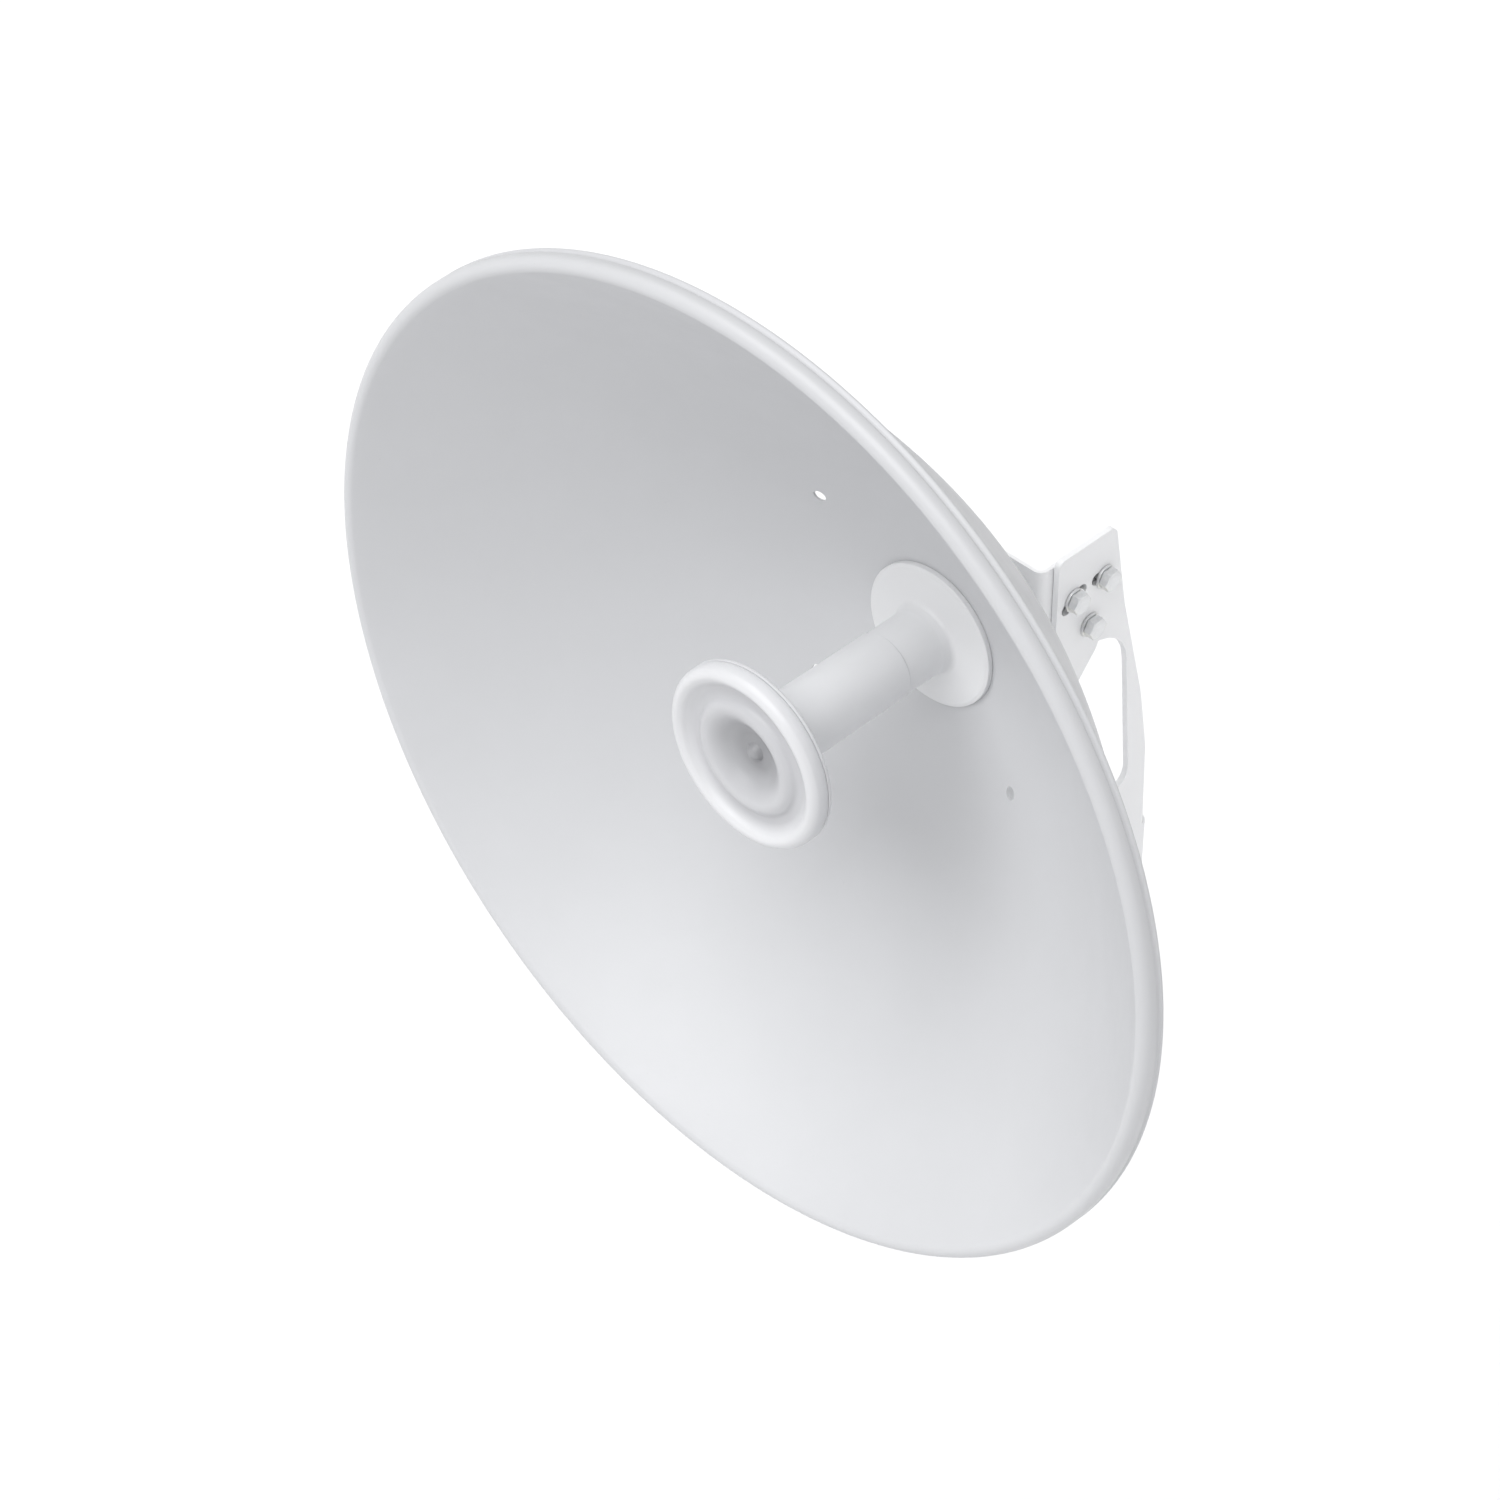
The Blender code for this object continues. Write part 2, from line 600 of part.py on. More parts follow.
def make_mount_arm():
    radius = BEND_R - ARM_WALL / 2
    middle_x = ARM_OUTSIDE - ARM_WALL / 2
    middle_s = WEB_REAR - ARM_WALL / 2
    path = [(middle_x, ARM_FRONT - 6)]
    path += arc(middle_x - radius, middle_s - radius, radius, 0, 90, 5)
    path += [(WEB_LEFT - 6, middle_s)]
    low = ARM_BOTTOM - 4
    high = ARM_TOP + 4
    obj = bent_sheet("mount_arm", path, ARM_WALL, low, high, BRACKET_PAINT)
    place(obj, at(0, 0, 0))
    behind = WEB_REAR + 6
    step = WEB_REAR - BEND_R - 0.5
    outline = rounded([
        (ARM_FRONT, ARM_TOP, 5), (256, ARM_TOP, 7), (267.5, 10, 80), (288.5, -73, 80),
        (296.5, -122, 60), (step, WEB_TOP + 5, 3), (step, WEB_TOP, 0), (behind, WEB_TOP, 0),
        (behind, ARM_BOTTOM, 0), (222, ARM_BOTTOM, 10), (ARM_FRONT, -230, 10)])
    shape_side(obj, "arm_outline", outline, "INTERSECT")
    window = rounded([
        (222, -6, 14), (270, -6, 34), (282, -142, 12), (222, -142, 12)])
    shape_side(obj, "arm_window", window)
    for label, angle in LOCK_ANGLES.items():
        shape_side(obj, f"arm_{label}_slot", arc_slot(angle))
    drill_side(obj, "arm_pivot_hole", M8_HOLE_R, PIVOT_S, PIVOT_Z)
    right = ARM_OUTSIDE + 4
    foot = rounded([
        (WEB_LEFT, ARM_BOTTOM, 10), (right, ARM_BOTTOM - 8, 0), (right, ARM_TOP + 8, 0),
        (WEB_LEFT + 40, ARM_TOP + 8, 0), (WEB_LEFT + 40, WEB_TOP + 8, 0), (WEB_LEFT, WEB_TOP, 10)])
    tool = prism("arm_foot_outline", foot, -WEB_REAR - 10, -ARM_FRONT + 10, collection=CUTTERS)
    boolean(obj, place(tool, at(0, 0, 0), FACE_FRONT), "INTERSECT")
    for i, (x, z) in enumerate(clamp_spots()):
        name = f"arm_clamp_hole_{i + 1}"
        drill(obj, name, U_BOLT_R + 0.5, x, z, WEB_REAR - 10, WEB_REAR + 6, tilts=False)


def make_dish_bracket():
    radius = BEND_R - BRACKET_WALL / 2
    middle_x = BRACKET_HALF - BRACKET_WALL / 2
    middle_s = BRACKET_FRONT + BRACKET_WALL / 2
    bend = arc(middle_x - radius, middle_s + radius, radius, 0, -90, 5)
    path = [(middle_x, BRACKET_REAR + 6)] + bend
    path += [(-x, s) for x, s in reversed(bend)] + [(-middle_x, BRACKET_LIP)]
    low = BRACKET_BOTTOM - 4
    high = BRACKET_TOP + 4
    obj = bent_sheet("dish_bracket", path, BRACKET_WALL, low, high, BRACKET_PAINT)
    place(obj, at(0, 0, 0), tilts=True)
    front = BRACKET_FRONT - 6
    outline = rounded([
        (front, BRACKET_TOP, 0), (254, BRACKET_TOP, 12), (BRACKET_REAR - 4, 30, 12), (250, -16, 16),
        (214, BRACKET_BOTTOM, 12), (front, BRACKET_BOTTOM, 0)])
    shape_side(obj, "bracket_outline", outline, "INTERSECT", tilts=True)
    drill(obj, "bracket_centre_hole", BLOCK_R + 0.5, 0, 0, 190, 204, segments=48)
    for i, (x, z) in enumerate(ring_of(4, FEED_SCREW_CIRCLE)):
        drill(obj, f"bracket_screw_hole_{i + 1}", SCREW_HOLE_R, x, z, 190, 204, segments=16)
    for i, (x, z) in enumerate(ring_of(4, BRACKET_BOLT_CIRCLE, 45)):
        drill(obj, f"bracket_bolt_hole_{i + 1}", BOLT_HOLE_R, x, z, 190, 204, segments=16)
    drill_side(obj, "bracket_pivot_hole", M8_HOLE_R, PIVOT_S, PIVOT_Z, tilts=True)
    for label, angle in LOCK_ANGLES.items():
        drill_side(obj, f"bracket_{label}_lock_hole", M8_HOLE_R, *lock_place(angle), tilts=True)


# --- pole clamp --------------------------------------------------------------
def clamp_heights():
    return {"upper": POLE_Z + U_BOLT_PITCH / 2, "lower": POLE_Z - U_BOLT_PITCH / 2}


def clamp_spots():
    return [(x, z) for z in clamp_heights().values() for x in (-U_LEG_X, U_LEG_X)]


def make_pole_saddle():
    """Block with a toothed V that the pole beds in."""
    apex = POLE_S + POLE_R * math.sqrt(2.0)
    mouth = apex - SADDLE_FRONT
    teeth = 5
    bite = 1.3
    v_side = []
    for i in range(teeth):
        along = mouth * (1.0 - i / teeth)
        v_side.append((along, apex - along))
        notch = along - mouth / teeth * 0.35
        v_side.append((notch + bite / 2, apex - notch + bite / 2))
    rear = WEB_REAR - ARM_WALL - GAP
    right = [(SADDLE_HALF, rear), (SADDLE_HALF, SADDLE_FRONT + 3), (SADDLE_HALF - 1.5, SADDLE_FRONT)]
    half = right + v_side
    outline = half + [(0.0, apex + 0.6)] + [(-x, s) for x, s in reversed(half)]
    low = POLE_Z - SADDLE_HEIGHT / 2
    obj = prism("pole_saddle", [(x, s - POLE_S) for x, s in outline],
                low - POLE_Z, low + SADDLE_HEIGHT - POLE_Z, ALUMINIUM)
    place(obj, at(0, POLE_S, POLE_Z))


def make_u_bolt(name, z):
    curve = bpy.data.curves.new(name, "CURVE")
    curve.dimensions = "3D"
    curve.bevel_depth = U_BOLT_R * MM
    curve.bevel_resolution = 2
    curve.use_fill_caps = True
    bow = arc(0.0, 0.0, U_LEG_X, 0, -180, 14)
    leg = U_LEG_END - POLE_S
    path = [(U_LEG_X, leg)] + bow + [(-U_LEG_X, leg)]
    spline = curve.splines.new("POLY")
    spline.points.add(len(path) - 1)
    for point, (x, y) in zip(spline.points, path):
        point.co = (x * MM, y * MM, 0.0, 1.0)
    obj = bpy.data.objects.new(name, curve)
    PARTS.objects.link(obj)
    curve.materials.append(material(name, *ZINC_STEEL))
    place(obj, at(0, POLE_S, z))


def make_clamp_hardware():
    washer_front = WEB_REAR + GAP
    nut_front = washer_front + WASHER_T + GAP
    for i, (x, z) in enumerate(clamp_spots()):
        place(washer(f"clamp_washer_{i + 1}"), at(x, washer_front, z), FACE_BACK)
        nut = hex_nut(f"clamp_nut_{i + 1}", NUT_FLATS, NUT_T, U_BOLT_R + 0.2)
        place(nut, at(x, nut_front, z), FACE_BACK)


# --- assembly ----------------------------------------------------------------
make_reflector()
make_feed_base()
make_feed_gasket()
make_feed_tube()
make_waveguide_tube()
make_feed_cup()
make_feed_front_cover()
make_front_cover_seal()
make_subreflector_plate()
make_dielectric_cone()
make_waveguide_block()
for connector_side, connector_turn in CONNECTOR_TURNS.items():
    make_connector(connector_side, connector_turn)
make_hub_spacer()
make_dish_bracket()
make_bracket_bolts()
make_feed_screws()
make_mount_arm()
make_side_bolt("pivot", PIVOT_S, PIVOT_Z, tilts=False)
for lock_label, lock_angle in LOCK_ANGLES.items():
    make_side_bolt(f"{lock_label}_lock", *lock_place(lock_angle), tilts=True)
make_pole_saddle()
for height_name, height in clamp_heights().items():
    make_u_bolt(f"{height_name}_u_bolt", height)
make_clamp_hardware()
bpy.context.view_layer.update()
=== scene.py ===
"""Looks of the dish antenna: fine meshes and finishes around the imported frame."""
import json
import math

import bmesh
import bpy
from mathutils import Matrix, Vector


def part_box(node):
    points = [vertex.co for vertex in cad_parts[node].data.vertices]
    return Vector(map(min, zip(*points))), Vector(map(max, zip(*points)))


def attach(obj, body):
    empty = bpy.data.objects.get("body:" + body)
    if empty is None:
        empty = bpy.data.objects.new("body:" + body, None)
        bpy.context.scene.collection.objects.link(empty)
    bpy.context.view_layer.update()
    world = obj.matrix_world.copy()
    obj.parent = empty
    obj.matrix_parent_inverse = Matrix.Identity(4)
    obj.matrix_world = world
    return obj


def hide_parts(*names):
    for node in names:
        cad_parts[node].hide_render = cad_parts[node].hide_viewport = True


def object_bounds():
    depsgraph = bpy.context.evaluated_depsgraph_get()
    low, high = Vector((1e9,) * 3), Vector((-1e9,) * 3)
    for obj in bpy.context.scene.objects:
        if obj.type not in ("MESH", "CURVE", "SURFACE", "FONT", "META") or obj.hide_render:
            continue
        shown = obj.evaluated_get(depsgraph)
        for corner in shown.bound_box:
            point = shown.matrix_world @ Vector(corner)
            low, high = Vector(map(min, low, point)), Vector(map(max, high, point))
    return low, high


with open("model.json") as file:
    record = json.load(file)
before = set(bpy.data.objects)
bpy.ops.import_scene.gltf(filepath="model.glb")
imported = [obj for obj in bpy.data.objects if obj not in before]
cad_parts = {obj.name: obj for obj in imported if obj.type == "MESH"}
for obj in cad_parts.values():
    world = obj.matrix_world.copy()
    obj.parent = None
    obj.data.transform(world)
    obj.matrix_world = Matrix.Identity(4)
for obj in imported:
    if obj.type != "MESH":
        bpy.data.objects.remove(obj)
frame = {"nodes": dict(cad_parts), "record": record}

CAD_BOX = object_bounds()
MM = 0.001
TURN = 2.0 * math.pi

# --- places taken from the frame ---------------------------------------------
BOWL_LOW, BOWL_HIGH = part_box("reflector")
RIM_R = (BOWL_HIGH.x - BOWL_LOW.x) / 2 / MM
BOWL_R = 314.0               # radius of the parabola at the front plane
BOWL_DEPTH = 180.0
BOWL_WALL = 1.6
BOWL_HOLE_R = 22.3           # the feed's spigot passes here
ROLL_R = 5.5                 # radius that the rim is rolled to
ROLL_CENTRE = RIM_R - ROLL_R
EDGE_SLOPE = math.atan(2.0 * BOWL_DEPTH / BOWL_R)
JOIN_R = ROLL_CENTRE - ROLL_R * math.sin(EDGE_SLOPE)
ROLL_S = BOWL_DEPTH * (1.0 - (JOIN_R / BOWL_R) ** 2) + ROLL_R * math.cos(EDGE_SLOPE)
AXIS_Z = (BOWL_LOW.z + BOWL_HIGH.z) / 2
FRONT_Y = BOWL_LOW.y - (ROLL_S - ROLL_R) * MM
RIM_CENTRE = Vector((0.0, FRONT_Y, AXIS_Z))

FACE_FRONT = Matrix.Rotation(math.radians(90), 4, "X")    # local +Z looks forward
FACE_BACK = Matrix.Rotation(math.radians(-90), 4, "X")
FACE_RIGHT = Matrix.Rotation(math.radians(90), 4, "Y")


def at(x, s, z):
    """World place: x across, s behind the rim's front plane, z above the axis."""
    return RIM_CENTRE + Vector((x, s, z)) * MM


def bowl_s(r):
    """Depth of the reflecting surface at radius r."""
    return BOWL_DEPTH * (1.0 - (r / BOWL_R) ** 2)


def middle(node):
    low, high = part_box(node)
    return (low + high) / 2


def depth(node):
    """Front and rear of a node, in millimetres behind the rim's front plane."""
    low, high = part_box(node)
    return (low.y - FRONT_Y) / MM, (high.y - FRONT_Y) / MM


GAP = 0.3                    # air that the frame leaves between touching pieces
GUIDE_R = 15.0               # metal waveguide, outside and inside
GUIDE_BORE_R = 13.5
BORE_R = 15.4                # hole through the feed's mouldings, round the waveguide
DISC_R = 60.0
COLLAR_FRONT, SPIGOT_END = depth("feed_base")
TUBE_FRONT, TUBE_REAR = depth("feed_tube")
SPIGOT_REACH = 3.0           # the cup's spigot stands this far into the cover
DISC_JOIN = depth("feed_cup")[0] + SPIGOT_REACH


# --- camera ------------------------------------------------------------------
def make_camera():
    """The photo's viewpoint: right of the dish's axis, above it and well back."""
    azimuth = math.radians(44.77)
    elevation = math.radians(41.59)
    distance = 2.8703
    aim_right = 0.0152           # metres from the rim's centre, in the picture's plane
    aim_up = 0.0133
    back = Vector((math.sin(azimuth) * math.cos(elevation),
                   -math.cos(azimuth) * math.cos(elevation),
                   math.sin(elevation)))
    right = Vector((math.cos(azimuth), math.sin(azimuth), 0.0))
    up = back.cross(right)
    camera = bpy.data.objects.new("camera", bpy.data.cameras.new("camera"))
    bpy.context.scene.collection.objects.link(camera)
    camera.data.sensor_width = 36.0
    camera.data.lens = 120.0
    camera.data.clip_end = 2000.0
    aim = RIM_CENTRE + right * aim_right + up * aim_up
    turn = Matrix((right, up, back)).transposed().to_4x4()
    camera.matrix_world = Matrix.Translation(aim + back * distance) @ turn
    bpy.context.scene.camera = camera


# --- finishes ----------------------------------------------------------------
class Finish:
    """A Principled material whose colour, roughness and relief come from noise."""

    def __init__(self, name, colour, roughness, metallic=0.0):
        self.material = bpy.data.materials.new(name)
        self.material.use_nodes = True
        self.nodes = self.material.node_tree.nodes
        self.links = self.material.node_tree.links
        self.shader = self.nodes["Principled BSDF"]
        self.colour = colour
        self.roughness = roughness
        self.shader.inputs["Base Color"].default_value = (*colour, 1.0)
        self.shader.inputs["Roughness"].default_value = roughness
        self.shader.inputs["Metallic"].default_value = metallic
        self.coords = self.nodes.new("ShaderNodeTexCoord").outputs["Object"]
        self.normal = None

    def stretched(self, scale):
        """Object coordinates scaled along each axis."""
        mapping = self.nodes.new("ShaderNodeMapping")
        mapping.inputs["Scale"].default_value = scale
        self.links.new(self.coords, mapping.inputs["Vector"])
        return mapping.outputs["Vector"]

    def noise(self, scale, detail=3.0, rough=0.55, stretch=None):
        node = self.nodes.new("ShaderNodeTexNoise")
        node.inputs["Scale"].default_value = scale
        node.inputs["Detail"].default_value = detail
        node.inputs["Roughness"].default_value = rough
        source = self.stretched(stretch) if stretch else self.coords
        self.links.new(source, node.inputs["Vector"])
        return node.outputs["Fac"]

    def ranged(self, value, low, high, start=0.3, end=0.7):
        node = self.nodes.new("ShaderNodeMapRange")
        node.inputs["From Min"].default_value = start
        node.inputs["From Max"].default_value = end
        node.inputs["To Min"].default_value = low
        node.inputs["To Max"].default_value = high
        self.links.new(value, node.inputs["Value"])
        return node.outputs["Result"]

    def mottle(self, value, darker, start=0.3, end=0.7):
        """Blend between the base colour and a darker shade of it."""
        mix = self.nodes.new("ShaderNodeMix")
        mix.data_type = "RGBA"
        mix.inputs["A"].default_value = (*[c * darker for c in self.colour], 1.0)
        mix.inputs["B"].default_value = (*self.colour, 1.0)
        self.links.new(self.ranged(value, 0.0, 1.0, start, end), mix.inputs["Factor"])
        self.links.new(mix.outputs["Result"], self.shader.inputs["Base Color"])
        return mix

    def lay_over(self, factor, colour, blend):
        """Blend a colour over whatever feeds the base colour."""
        base = self.shader.inputs["Base Color"]
        mix = self.nodes.new("ShaderNodeMix")
        mix.data_type = "RGBA"
        mix.blend_type = blend
        mix.inputs["B"].default_value = (*colour, 1.0)
        self.links.new(base.links[0].from_socket, mix.inputs["A"])
        self.links.new(factor, mix.inputs["Factor"])
        self.links.new(mix.outputs["Result"], base)

    def stain(self, value, colour, start, end):
        """Spots of a second colour where the value is high."""
        self.lay_over(self.ranged(value, 0.0, 1.0, start, end), colour, "MIX")

    def paint_shade(self, factor, darker):
        """Painted shade: darken the base colour where the factor is one."""
        self.lay_over(factor, (darker, darker, darker * 1.01), "MULTIPLY")

    def along_z(self):
        """Height in the piece's own space, which for a lathed piece looks forward."""
        split = self.nodes.new("ShaderNodeSeparateXYZ")
        self.links.new(self.coords, split.inputs["Vector"])
        return split.outputs["Z"]

    def inside_disc(self, outer, inner):
        """Mask for the disc's painted shade: one within the inner radius, zero past the outer one
        and behind the disc's front.
        """
        flat = self.nodes.new("ShaderNodeVectorMath")
        flat.operation = "LENGTH"
        self.links.new(self.stretched((1.0, 1.0, 0.0)), flat.inputs[0])
        near = self.ranged(flat.outputs["Value"], 1.0, 0.0, inner, outer)
        fade_start = -(DISC_JOIN + 3.5) * MM
        fade_end = -(DISC_JOIN + 2.5) * MM
        front = self.ranged(self.along_z(), 0.0, 1.0, fade_start, fade_end)
        both = self.nodes.new("ShaderNodeMath")
        both.operation = "MULTIPLY"
        self.links.new(near, both.inputs[0])
        self.links.new(front, both.inputs[1])
        return both.outputs["Value"]

    def gloss(self, value, spread):
        """Let the roughness wander by the spread to both sides."""
        low = self.roughness - spread
        high = self.roughness + spread
        self.links.new(self.ranged(value, low, high), self.shader.inputs["Roughness"])

    def relief(self, value, height, strength):
        """Add a bump layer; height is in metres."""
        bump = self.nodes.new("ShaderNodeBump")
        bump.inputs["Strength"].default_value = strength
        bump.inputs["Distance"].default_value = height
        self.links.new(value, bump.inputs["Height"])
        if self.normal:
            self.links.new(self.normal, bump.inputs["Normal"])
        self.normal = bump.outputs["Normal"]
        self.links.new(self.normal, self.shader.inputs["Normal"])


def powder_coat(name, colour, roughness):
    """Baked powder: orange-peel skin, faint shade drift and a few dust specks."""
    coat = Finish(name, colour, roughness)
    dust = [c * 0.80 for c in colour]
    coat.mottle(coat.noise(6.0, detail=4.0), darker=0.965)
    coat.stain(coat.noise(900.0, detail=2.0), dust, start=0.735, end=0.80)
    coat.gloss(coat.noise(38.0, detail=5.0), spread=0.05)
    coat.relief(coat.noise(420.0, detail=2.0), height=0.00006, strength=0.5)
    coat.relief(coat.noise(1900.0, detail=1.0), height=0.00002, strength=0.35)
    coat.shader.inputs["Specular IOR Level"].default_value = 0.42
    return coat.material


# outer and inner radius in metres, and painted shade: the disc's front is painted darker towards
# its deep middle recess, where shade falls
DISC_PAINTED_SHADE = ((0.062, 0.061, 0.88), (0.051, 0.044, 0.78), (0.030, 0.012, 0.58))


def moulded_plastic(name, colour, roughness):
    """Weatherproof white plastic with a fine spark-eroded grain, and painted shade on the disc's
    front.
    """
    skin = Finish(name, colour, roughness)
    skin.mottle(skin.noise(16.0, detail=4.0), darker=0.975)
    # painted shade: darken the disc's front, most in its middle recess
    for outer, inner, darker in DISC_PAINTED_SHADE:
        skin.paint_shade(skin.inside_disc(outer, inner), darker)
    skin.gloss(skin.noise(70.0, detail=4.0), spread=0.06)
    skin.relief(skin.noise(1500.0, rough=0.7), height=0.00004, strength=0.45)
    skin.shader.inputs["Specular IOR Level"].default_value = 0.5
    return skin.material


def zinc_plate(name):
    """Zinc-flake coat on steel: pale, cloudy, faintly yellow in places."""
    yellowish = (0.76, 0.75, 0.68)
    plate = Finish(name, (0.80, 0.81, 0.82), roughness=0.42, metallic=0.6)
    plate.mottle(plate.noise(160.0, detail=5.0), darker=0.86)
    plate.stain(plate.noise(90.0), yellowish, start=0.52, end=0.78)
    plate.gloss(plate.noise(260.0, detail=5.0), spread=0.10)
    plate.relief(plate.noise(900.0, detail=4.0, rough=0.65), height=0.00004, strength=0.4)
    return plate.material


def cast_metal(name):
    """Sand-like skin of an aluminium casting."""
    cast = Finish(name, (0.66, 0.67, 0.68), roughness=0.48, metallic=0.9)
    cast.mottle(cast.noise(60.0, detail=6.0), darker=0.84)
    cast.gloss(cast.noise(130.0, detail=4.0), spread=0.09)
    cast.relief(cast.noise(650.0, detail=6.0, rough=0.7), height=0.00015, strength=0.7)
    return cast.material


def turned_metal(name, colour, roughness, stretch):
    """Lathe or drawing marks: noise squeezed along the tool's path."""
    metal = Finish(name, colour, roughness, metallic=1.0)
    metal.mottle(metal.noise(14.0, detail=4.0, stretch=stretch), darker=0.90)
    metal.gloss(metal.noise(40.0, stretch=stretch), spread=0.08)
    metal.relief(metal.noise(90.0, detail=2.0, stretch=stretch), height=0.00002, strength=0.5)
    return metal.material


def sealing_rubber(name):
    """Black moulded rubber with a dull, slightly uneven skin."""
    rubber = Finish(name, (0.030, 0.030, 0.032), roughness=0.68)
    rubber.mottle(rubber.noise(120.0, detail=4.0), darker=0.7)
    rubber.gloss(rubber.noise(300.0), spread=0.08)
    rubber.relief(rubber.noise(1100.0), height=0.00005, strength=0.6)
    return rubber.material


def natural_plastic(name):
    """Uncoloured plastic, milky and a little translucent."""
    milky = Finish(name, (0.86, 0.85, 0.78), roughness=0.42)
    milky.mottle(milky.noise(80.0, detail=4.0), darker=0.93)
    milky.gloss(milky.noise(150.0), spread=0.06)
    milky.relief(milky.noise(500.0), height=0.00004, strength=0.4)
    milky.shader.inputs["Subsurface Weight"].default_value = 0.2
    milky.shader.inputs["Subsurface Radius"].default_value = (0.004, 0.004, 0.003)
    milky.shader.inputs["Subsurface Scale"].default_value = 1.0
    return milky.material


LATHE_MARKS = (1.0, 1.0, 30.0)     # noise stretched round the turned piece
FINE_MARKS = (8.0, 8.0, 8.0)
MATERIALS = {
    "reflector_paint": powder_coat("reflector_paint", (0.582, 0.588, 0.603), 0.42),
    "bracket_paint": powder_coat("bracket_paint", (0.90, 0.905, 0.915), 0.44),
    "feed_plastic": moulded_plastic("feed_plastic", (0.765, 0.77, 0.78), 0.40),
    "feed_insulator": natural_plastic("feed_insulator"),
    "waveguide_metal": turned_metal("waveguide_metal", (0.74, 0.75, 0.76), 0.32, LATHE_MARKS),
    "cast_metal": cast_metal("cast_metal"),
    "zinc_steel": zinc_plate("zinc_steel"),
    "connector_nickel": turned_metal("connector_nickel", (0.70, 0.68, 0.62), 0.22, FINE_MARKS),
    "probe_brass": turned_metal("probe_brass", (0.78, 0.60, 0.28), 0.26, FINE_MARKS),
    "seal_rubber": sealing_rubber("seal_rubber"),
}
NODE_SLOT = {part["node"]: part["material_slot"] for part in frame["record"]["subparts"]}
BODIES = frame["record"]["behaviour"]["bodies"]
BODY_OF = {node: body for body, nodes in BODIES.items() for node in nodes}


def dress(obj, slot):
    obj.data.materials.clear()
    obj.data.materials.append(MATERIALS[slot])


# --- mesh helpers ------------------------------------------------------------
def arc(cx, cy, radius, start, end, steps):
    """Points on a circle, from one angle to another, in degrees."""
    turn = [math.radians(start + (end - start) * i / steps) for i in range(steps + 1)]
    return [(cx + radius * math.cos(a), cy + radius * math.sin(a)) for a in turn]


def softened(corners, radius=0.5, steps=3):
    """Profile with each (r, s) or (r, s, own radius) corner rounded a little."""
    points = []
    count = len(corners)
    for i, corner in enumerate(corners):
        here = Vector(corner[:2])
        size = corner[2] if len(corner) > 2 else radius
        before = Vector(corners[i - 1][:2]) - here
        after = Vector(corners[(i + 1) % count][:2]) - here
        angle = before.angle(after, math.pi)
        if size <= 0 or angle > math.radians(176):
            points.append(tuple(here))
            continue
        reach = min(size / math.tan(angle / 2), before.length * 0.45, after.length * 0.45)
        start = here + before.normalized() * reach
        end = here + after.normalized() * reach
        for k in range(steps + 1):
            t = k / steps
            points.append(tuple(start * (1 - t) ** 2 + here * 2 * t * (1 - t) + end * t ** 2))
    return points


def flowing(points, per_span=4):
    """Catmull-Rom curve through (r, s) points, open at both ends."""
    path = [Vector(p) for p in points]
    path = [path[0] * 2 - path[1]] + path + [path[-1] * 2 - path[-2]]
    out = []
    for a, b, c, d in zip(path, path[1:], path[2:], path[3:]):
        for k in range(per_span):
            t = k / per_span
            square = (a * 2 - b * 5 + c * 4 - d) * t ** 2
            cube = (b * 3 - a - c * 3 + d) * t ** 3
            out.append(tuple((b * 2 + (c - a) * t + square + cube) / 2))
    return out + [tuple(path[-2])]


def behind_skin(path, distance):
    """The same profile moved to the side that lies behind the front skin."""
    moved = []
    for i, point in enumerate(path):
        before = Vector(path[max(i - 1, 0)])
        after = Vector(path[min(i + 1, len(path) - 1)])
        along = (after - before).normalized()
        moved.append(tuple(Vector(point) + Vector((-along.y, along.x)) * distance))
    return moved


def finished(name, bm, node, sharp=35.0, place=None):
    """Turn a bmesh into a piece that stands for a CAD node and moves with it."""
    bmesh.ops.recalc_face_normals(bm, faces=bm.faces)
    mesh = bpy.data.meshes.new(name)
    bm.to_mesh(mesh)
    bm.free()
    for face in mesh.polygons:
        face.use_smooth = True
    mesh.set_sharp_from_angle(angle=math.radians(sharp))
    obj = bpy.data.objects.new(name, mesh)
    bpy.context.scene.collection.objects.link(obj)
    if place is not None:
        obj.matrix_world = place
    dress(obj, NODE_SLOT[node])
    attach(obj, BODY_OF[node])
    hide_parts(node)
    return obj


def spin(bm, profile, steps, closed=True):
    """Turn a profile of (r, height) points, in millimetres, round local Z."""
    start = [bm.verts.new((r * MM, 0.0, h * MM)) for r, h in profile]
    edges = [bm.edges.new(pair) for pair in zip(start, start[1:])]
    if closed:
        edges.append(bm.edges.new((start[-1], start[0])))
    bmesh.ops.spin(bm, geom=start + edges, cent=(0, 0, 0), axis=(0, 0, 1), angle=TURN,
                   steps=steps, use_merge=True, use_duplicate=False)
    bmesh.ops.remove_doubles(bm, verts=bm.verts, dist=1e-7)
    return bm


def lathe(name, node, profile, steps=128, closed=True, sharp=35.0):
    """Spun piece about the dish's own axis, from (r, s) points."""
    bm = spin(bmesh.new(), [(r, -s) for r, s in profile], steps, closed)
    return finished(name, bm, node, sharp, Matrix.Translation(RIM_CENTRE) @ FACE_FRONT)


def grid(bm, rings, closed_ends=True):
    """Skin a stack of equal rings of points with quads, and cap both ends."""
    rows = [[bm.verts.new(p) for p in ring] for ring in rings]
    count = len(rows[0])
    for low, high in zip(rows, rows[1:]):
        for i in range(count):
            bm.faces.new((low[i], low[(i + 1) % count], high[(i + 1) % count], high[i]))
    if closed_ends:
        bm.faces.new(list(reversed(rows[0])))
        bm.faces.new(rows[-1])
    return rows


def circle_points(radius, height, count):
    """Ring of points; radius and height may be functions of the angle."""
    points = []
    for i in range(count):
        a = TURN * i / count
        r = radius(a) if callable(radius) else radius
        h = height(a) if callable(height) else height
        points.append(Vector((r * math.cos(a), r * math.sin(a), h)) * MM)
    return points


